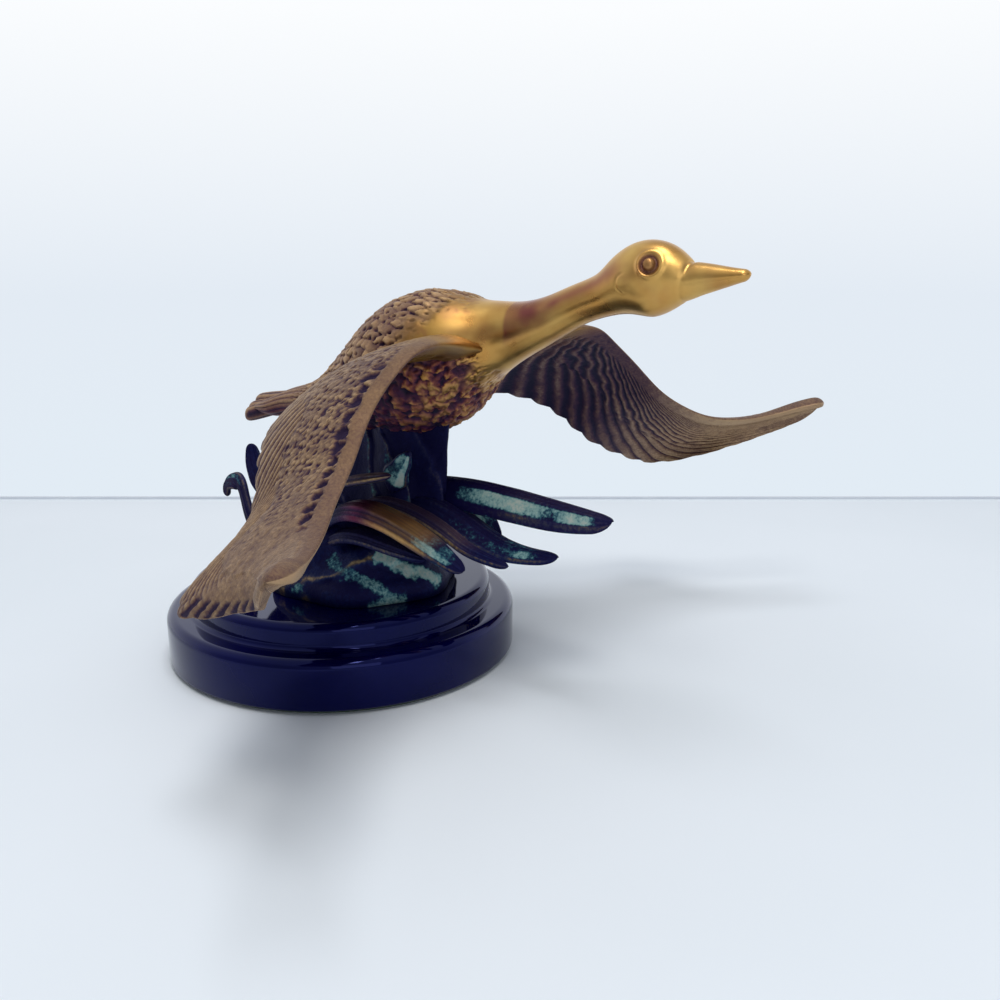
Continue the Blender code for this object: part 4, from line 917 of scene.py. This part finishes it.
def wingSheet(across, chord):
    # Points midway through the wing, the way out of its upper face, its thickness, how far along
    # the span each station lies, the wing's width there and the way along the trailing edge.
    edges = np.array(wingEdges).reshape(-1, 6) * wing["reach"]
    near, here, after = (
        naturalCurve(edges, np.clip(across + step, 0, 1))[:, None] for step in (-0.01, 0, 0.01)
    )
    c = chord[None, :, None]
    s = across[:, None]
    front, back = here[..., :3], here[..., 3:]
    outward = unit((after - near)[..., :3] * (1 - c) + (after - near)[..., 3:] * c)
    normal = unit(np.cross(unit(front - back), outward))
    arch = wing["arch"] * (1 - 0.6 * s[..., None]) * 4 * c * (1 - c)
    feather = np.abs(np.sin(math.pi * quillCount(s)))
    fringe = wing["fringe"] * chord[None, :] ** 8 * (feather - 1)
    point = front + (back - front) * (c + fringe[..., None]) + normal * arch
    rooted = np.clip(1 - s / 0.3, 0, None) ** 2
    thick = wing["thickness"] + (wing["rootThickness"] - wing["thickness"]) * rooted
    thick = thick * (1 - 0.4 * chord[None, :])
    span, edge = (
        np.concatenate([[0], np.cumsum(np.linalg.norm(np.diff(line, axis=0), axis=-1))])[:, None]
        for line in (here[:, 0, :3] * 0.5 + here[:, 0, 3:] * 0.5, back[:, 0])
    )
    width = np.linalg.norm(back - front, axis=-1)
    # the tip's outline is rounded off
    left = np.clip((s - 1 + wing["tipRounding"]) / wing["tipRounding"], 0, 1)
    middle = point[:, [np.argmin(np.abs(chord - 0.45))]]
    point = middle + (point - middle) * np.sqrt(1 - 0.998 * left**2)[..., None]
    return (goose["forward"], goose["left"], goose["lift"]) + point, normal, thick, span, width, edge


def quillCount(place):
    # Feathers between the body and a place on the trailing edge: the outer ones are broader.
    beyond = place - wing["broadFrom"]
    return wing["feathers"] * (place - 0.16 * (beyond + np.sqrt(beyond**2 + 0.01)))


def featherLabel(s, c):
    # Where the flight feather at a place ends on the trailing edge.
    # Feathers lie square to the wing by the body and sweep ever more towards the tip.
    half = 0.5 * wing["sweep"] * (1 - c)
    beyond = s - wing["straightTo"]
    swept = (1 - half) * beyond + half * np.sqrt(beyond**2 + 0.01 * (1 - 2 * half))
    return wing["straightTo"] + swept / (1 - 2 * half)


def makeWing(name, mirrored, finish):
    tipShare = wing["tipRounding"]
    last = 1 - tipShare + tipShare * np.sin(np.linspace(0, math.pi / 2, wing["tipStations"]))[1:]
    s = np.concatenate([np.linspace(0, 1 - tipShare, wing["stations"] - len(last)), last])
    c = np.linspace(0, 1, wing["chords"]) ** 1.15
    point, normal, thick, span, width, edge = wingSheet(s, c)
    far, aft = s[:, None], c[None, :]  # shares of the way from root to tip and from front to back
    behind = aft * width
    label = featherLabel(far, aft)
    bend, wave = layeredNoise(point, 8.0, seed=7), layeredNoise(point, 3.5, seed=27)
    fine = layeredNoise(point, 1.5, seed=17)

    # upper face: leading band, a row of pits, coverts, then long ridges that sweep to the trailing
    # edge, and a row of dents between the tips of the outer feathers
    bandEdge = wing["bandShare"] + 0.3 * blendStep(0.82, 0.97, far) + 0.014 * wave
    bandBlur = 0.015 + 0.1 * blendStep(0.8, 0.9, far)
    band = blendStep(bandEdge + bandBlur, bandEdge - bandBlur, aft)
    coverEdge = wing["coverShare"] + 0.06 * np.sin(span / 5) + 0.05 * wave
    flight = blendStep(coverEdge - 0.01, coverEdge + 0.03, aft) * blendStep(0.73, 0.63, far)
    between = (1 - band) * (1 - flight)
    coverts, gap, covertTip, own = scaleFeathers(
        behind / wing["scaleAlong"] + 0.45 * bend + 0.3 * wave,
        span / wing["scaleAcross"] + 0.4 * bend + 0.3 * wave, seed=5, length=1.6, point=2.0, stray=0.4,
    )
    covering = 1 - 0.92 * blendStep(0.48, 0.72, far)
    coverts = 0.6 + (coverts - 0.6) * covering
    ridge = np.abs(np.sin(math.pi * label * wing["ridges"] + 0.9 * bend * (1 - aft))) ** 0.75
    places = span / wing["pitPitch"] + 0.12 * bend + 3
    number = np.floor(places)
    luck = cellValue(np.stack([number, 0 * number], -1), 6)
    lane = (aft - bandEdge - wing["pitLane"] - 0.008 * luck) / (0.036 + 0.01 * luck)
    pit = blendStep(1.15, 0.7, np.hypot(lane, (places - number - 0.45) / 0.4) + 0.25 * fine)
    pit = pit * blendStep(0.26, 0.31, far) * blendStep(0.7, 0.62, far)
    backPitch, outPitch = wing["smallPitch"]
    small = scatteredPits(
        behind / backPitch + 0.3 * bend, span / outPitch + 0.3 * bend, seed=9, size=(0.28, 0.24)
    )
    small = small * (1 - flight) * blendStep(0.62, 0.4, far) * blendStep(0.06, 0.12, far)
    small = small * blendStep(0.03, 0.08, aft - bandEdge)
    dents = blendStep(0.3, 0.75, np.sin(math.pi * edge / wing["dentPitch"] + 0.3 * wave) ** 2)
    dents = dents * blendStep(0.66, 0.68, far) * blendStep(0.9, 0.86, far)
    dents = dents * blendStep(0.78, 0.86, aft) * blendStep(1.0, 0.97, aft)
    upper = between * covering * (0.12 * (coverts - 1) - 0.14 * gap + 0.1 * (wave - 1))
    upper = upper + flight * wing["ridgeDepth"] * (ridge - 1) + (0.14 * fine) * (1 - band) + 0.12 * band
    upper = upper - wing["pitDepth"] * pit - wing["dentDepth"] * dents - wing["smallDepth"] * small
    overRelief = between * (0.42 + 0.24 * coverts + covering * (0.16 * covertTip + 0.08 * own - 0.24 * gap))
    overRelief = overRelief + flight * (0.04 + 0.66 * ridge) + band * (0.5 + 0.07 * wave + 0.06 * bend)
    overRelief = overRelief - 0.78 * pit - 0.7 * dents - 0.55 * small + 0.16 * fine * (1 - band)

    # lower face: coverts in ribs, a step, then the flight feathers, whose raised edges lie close
    # together by the body and turn into broad bars that fan out to the tip
    quills = math.pi * quillCount(label)
    bar = np.abs(np.sin(quills + 0.8 * bend * (1 - 0.7 * aft) + 0.15 * wave))
    inner = blendStep(0.66, 0.4, far)
    step = wing["stepShare"] + 0.12 * blendStep(0.3, 0.6, far) + 0.03 * bar
    secondary = blendStep(step, step + 0.02, aft)
    lowBand = blendStep(0.12, 0.08, aft)
    primary = (1 - secondary) * (1 - lowBand)
    split = 0.5 * blendStep(0.65, 0.85, far)
    outer = (1 - split) * np.clip(bar * 1.4, 0, 1) ** 0.8 + split * np.abs(np.sin(2 * quills)) ** 0.6
    barbs = inner * bar**1.8 + (1 - inner) * outer
    ribs = np.abs(np.sin(0.85 * quills + 2.2 * bend + 0.8 * wave)) ** (1 + inner)
    lower = secondary * wing["barDepth"] * (barbs - 1) + primary * (wing["ribDepth"] * (ribs - 1) + 0.25)
    lower = lower * (1 - 0.6 * blendStep(0.75, 0.97, far)) + 0.1 * fine * (1 - lowBand)
    uneven = 0.75 + 0.3 * blendStep(0.5, 0.2, far) + 0.3 * layeredNoise(point, 7.0, seed=41)
    underRelief = secondary * (0.04 + 0.66 * barbs * uneven) + primary * (0.02 + 0.66 * ribs)
    underRelief = underRelief + (0.5 + 0.2 * blendStep(0.3, 0.7, far)) * lowBand + 0.14 * fine
    underRelief = underRelief + 0.26 * blendStep(0.45, 0.8, far)

    # thickness: rounded in front, thin behind and at the tip, and sinking into the shoulder
    nose = np.minimum(1, np.sqrt(aft / 0.11))
    nose = nose * np.minimum(1, 0.35 + np.sqrt(np.clip((1 - aft) / 0.16, 0, None)))
    tip = np.sqrt(1 - 0.99 * np.clip((far - 1) / tipShare + 1, 0, 1) ** 2)
    tip = tip * (1 + wing["tipSwell"] * blendStep(0.8, 0.95, far))
    half = (thick - wing["step"] * blendStep(coverEdge - 0.02, coverEdge, aft)) * nose * tip / 2
    half = half * (1 - 0.4 * blendStep(0.09, 0.0, far) * blendStep(0.4, 0.05, aft))
    inset = 0.12 * np.minimum(1, aft / 0.02)
    fade = np.minimum(1, aft / 0.05) * (0.3 + 0.7 * blendStep(1.0, 0.93, far))
    over, under = (
        point + normal * (way * (half - inset + np.clip(carving * fade, -0.68 * half, 0.3)))[..., None]
        for way, carving in ((1, upper), (-1, lower))
    )
    grid = wrapped(over, under)

    # the root and a little of the leading band are bare metal
    bright = blendStep(0.22, 0.11, far + 0.03 * wave) * np.maximum(band, blendStep(0.7, 0.3, aft))
    bright = np.maximum(bright * (0.92 + 0.15 * wave), 0.16 * band * blendStep(0.8, 0.4, far))
    rooted = blendStep(0.28, 0.13, far + 0.03 * wave) * blendStep(0.95, 0.4, aft + 0.1 * wave)
    rooted = rooted * (0.9 + 0.2 * wave)
    # painted shading: the under face darkens towards the body
    dim = (1 - 0.7 * blendStep(0.3, 0.75, far)) * (1 - rooted)
    marks = {
        "relief": np.clip(wrapped(overRelief, underRelief), 0, 1),
        "polish": np.clip(wrapped(bright, rooted), 0, 1), "green": 0,
        "shadeAndStainMark": np.clip(wrapped((0.1 + 0.15 * wave) * (bright > 0), dim), 0, 1),
    }
    if mirrored:
        grid[..., 1] = 2 * goose["left"] - grid[..., 1]
    seat(ringMesh(name, grid, marks), finish, "wing_patina", "wing_right" if mirrored else "wing_left")


# Building

feltFinish = plainFinish("pressed_wool_felt_green", feltLook)
lacquerFinish = plainFinish("black_gloss_lacquer_on_turned_wood", lacquerLook)
steelFinish = plainFinish("zinc_plated_drawn_steel", steelLook)
plumageFinish = castMetal("cast_brass_brown_patina_plumage", plumageLook)
wingFinish = castMetal("cast_brass_brown_patina_wings", wingLook)
reedFinish = castMetal("cast_bronze_verdigris_reeds", reedLook)
polishedFinish = castMetal("cast_brass_buffed_head", plumageLook)
print("materials made")

makeFelt(feltFinish)
makePlinth(lacquerFinish)
makeMound(reedFinish)
makeStalk(reedFinish)
for seed, (reedName, reedShape) in enumerate(reeds.items()):
    makeReed(reedName, reedShape, reedFinish, seed)
print("base, mound and reeds made")

makeBody(plumageFinish)
makeTail(plumageFinish)
makeHead(polishedFinish)
makeWing("feathered_wing_left", False, wingFinish)
makeWing("feathered_wing_right", True, wingFinish)
print("goose made")

for node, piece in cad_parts.items():
    if not piece.hide_render:  # the hidden fixings keep their CAD meshes
        piece.data.materials.clear()
        piece.data.materials.append(steelFinish)
        print("fixing kept:", node)


# Room, lights and camera

# the way that the camera looks over the table, sizes in metres, and how bright the room's sides are
room = {
    "away": (-0.6225, 0.7826, 0.0), "tableBack": 0.192, "tableHalf": 1.6, "tableFront": 1.3,
    "tableEdge": 0.001, "tableDeep": 0.03, "lineGap": 0.001, "lineDeep": 0.002, "lineHeight": 0.0013,
    "sky": [(0.0, "#e2ecf5"), (0.45, "#e3ebf4"), (1.0, "#fbfdff")], "wallGlow": 0.74, "roomGlow": 0.28,
    "ceilingGlow": 0.5, "mirrored": 0.5, "glow": "#f3f8ff",
}
# White lacquered board, and a grey strip that is a painted shadow line at the wall's foot, both matt, with a
# barely seen mottle 200 and 25 mm across
tableLook = {
    "pattern": {"Scale": 5, "Detail": 3}, "tones": [(0.3, "#e6edf3"), (0.7, "#ecf2f8")],
    "sockets": {"Roughness": 0.6, "Specular IOR Level": 0.2},
}
shadowLineLook = {
    "pattern": {"Scale": 40, "Detail": 2}, "tones": [(0.2, "#d6dce6"), (0.8, "#e2e8ee")],
    "sockets": {"Roughness": 0.9},
}


def makeTable():
    away, half = np.array(room["away"]), room["tableHalf"]
    across = np.array([-away[1], away[0], 0.0])
    front, back, edge = -room["tableFront"], room["tableBack"], room["tableEdge"]
    # a pale table with a rounded back edge, across the camera's way
    board = [(front, -room["tableDeep"]), (front, 0.0), (back - edge, 0.0)]
    for turn in np.radians([22.5, 45, 67.5, 90]):
        board.append((back - edge + edge * math.sin(turn), -edge + edge * math.cos(turn)))
    board.append((back, -room["tableDeep"]))
    # a grey strip standing at the table's back edge is the painted shadow line where it meets the wall
    start, rise = back + room["lineGap"], room["lineHeight"]
    end = start + room["lineDeep"]
    line = [(start, 0), (end, 0), (end, rise), (start, rise)]
    pieces = []
    for name, profile in (("pale_table", board), ("wall_shadow_line", line)):
        rings = [[away * p + (0, 0, h) + across * w for p, h in profile] for w in (-half, half)]
        pieces.append(ringMesh(name, np.array(rings) / mm, sharp=50))
    table, strip = pieces
    table.data.materials.append(plainFinish("matt_white_table_board", tableLook))
    strip.data.materials.append(plainFinish("painted_shadow_line_grey", shadowLineLook))


def makeWorld():
    # A white wall beyond the table, a dim room on the viewer's side and a softly lit ceiling.
    # The camera sees the wall's colour all round.
    world = bpy.data.worlds.new("studio")
    bpy.context.scene.world = world
    world.use_nodes = True
    tree = world.node_tree
    tree.nodes.clear()
    way = addNode(tree, "TexCoord").outputs["Generated"]
    facing = addNode(tree, "VectorMath", {0: way, 1: room["away"]}, operation="DOT_PRODUCT").outputs["Value"]
    height = addNode(tree, "SeparateXYZ", {"Vector": way}).outputs["Z"]
    wall = addNode(tree, "MapRange", {"Value": facing, "From Min": -0.35, "From Max": 0.35,
                   "To Min": room["roomGlow"], "To Max": room["wallGlow"]}, interpolation_type="SMOOTHSTEP")
    top = addNode(tree, "MapRange", {"Value": height, "From Min": 0.35, "From Max": 0.8},
                  interpolation_type="SMOOTHSTEP").outputs["Result"]
    glow = addNode(tree, "Mix", {"Factor": top, "A": wall.outputs["Result"], "B": room["ceilingGlow"]})
    path = addNode(tree, "LightPath")
    seen = path.outputs["Is Camera Ray"]
    # mirrored in the lacquer and the brass, the room is half as bright again, near what is seen
    boost = addNode(tree, "Math", {0: path.outputs["Is Glossy Ray"], 1: room["mirrored"], 2: 1.0},
                    operation="MULTIPLY_ADD").outputs[0]
    strength = addNode(tree, "Math", {0: glow.outputs[0], 1: boost}, operation="MULTIPLY").outputs[0]
    light = addNode(tree, "Background", {"Color": linear(room["glow"]), "Strength": strength})
    climb = addNode(tree, "MapRange", {"Value": height, "From Min": -0.25, "From Max": 0.2}).outputs["Result"]
    wallTone = addNode(tree, "ValToRGB", {"Fac": climb}, stops=room["sky"])
    shown = addNode(tree, "Background", {"Color": wallTone.outputs["Color"], "Strength": 1.0})
    both = addNode(tree, "MixShader", {0: seen, 1: light.outputs[0], 2: shown.outputs[0]})
    addNode(tree, "OutputWorld", {"Surface": both.outputs[0]})


lamps = {
    "key": dict(place=(0.50, -0.57, 1.50), size=(0.55, 0.45), watts=7.0, colour="#fffcf6"),
    "top": dict(place=(0.08, -0.02, 1.25), size=(0.42, 0.42), watts=4.1, colour="#fbfcff"),
    "fill": dict(place=(0.75, -0.55, 0.35), size=(0.5, 0.5), watts=1.0, colour="#f4f6ff"),
}
lampAim = (0.03, 0.01, 0.06)


def makeLamps():
    for name, lamp in lamps.items():
        light = bpy.data.lights.new(name, "AREA")
        light.shape, (light.size, light.size_y) = "RECTANGLE", lamp["size"]
        light.energy = lamp["watts"]
        light.color = linear(lamp["colour"])[:3]
        holder = bpy.data.objects.new(name, light)
        holder.location = lamp["place"]
        way = np.subtract(lampAim, lamp["place"])
        pitch, heading = math.atan2(math.hypot(way[0], way[1]), -way[2]), math.atan2(way[1], way[0])
        holder.rotation_euler = (pitch, 0, heading - math.pi / 2)
        bpy.context.scene.collection.objects.link(holder)


# where the eye is, in metres, how it is turned, in degrees, and its lens, in mm
camera = {
    "place": (0.2417, -0.2184, 0.1332), "turn": (75.45, 0, 38.5), "lens": 36.0, "sensor": 36.0,
    "clipStart": 0.01,
}


def makeCamera():
    eye = bpy.data.cameras.new("camera")
    eye.lens, eye.sensor_width = camera["lens"], camera["sensor"]
    eye.clip_start = camera["clipStart"]
    holder = bpy.data.objects.new("camera", eye)
    holder.location = camera["place"]
    holder.rotation_euler = [math.radians(a) for a in camera["turn"]]
    bpy.context.scene.collection.objects.link(holder)
    bpy.context.scene.camera = holder


makeTable()
makeWorld()
makeLamps()
makeCamera()
bpy.context.scene.view_settings.view_transform = "Standard"
print("room, lamps and camera made")
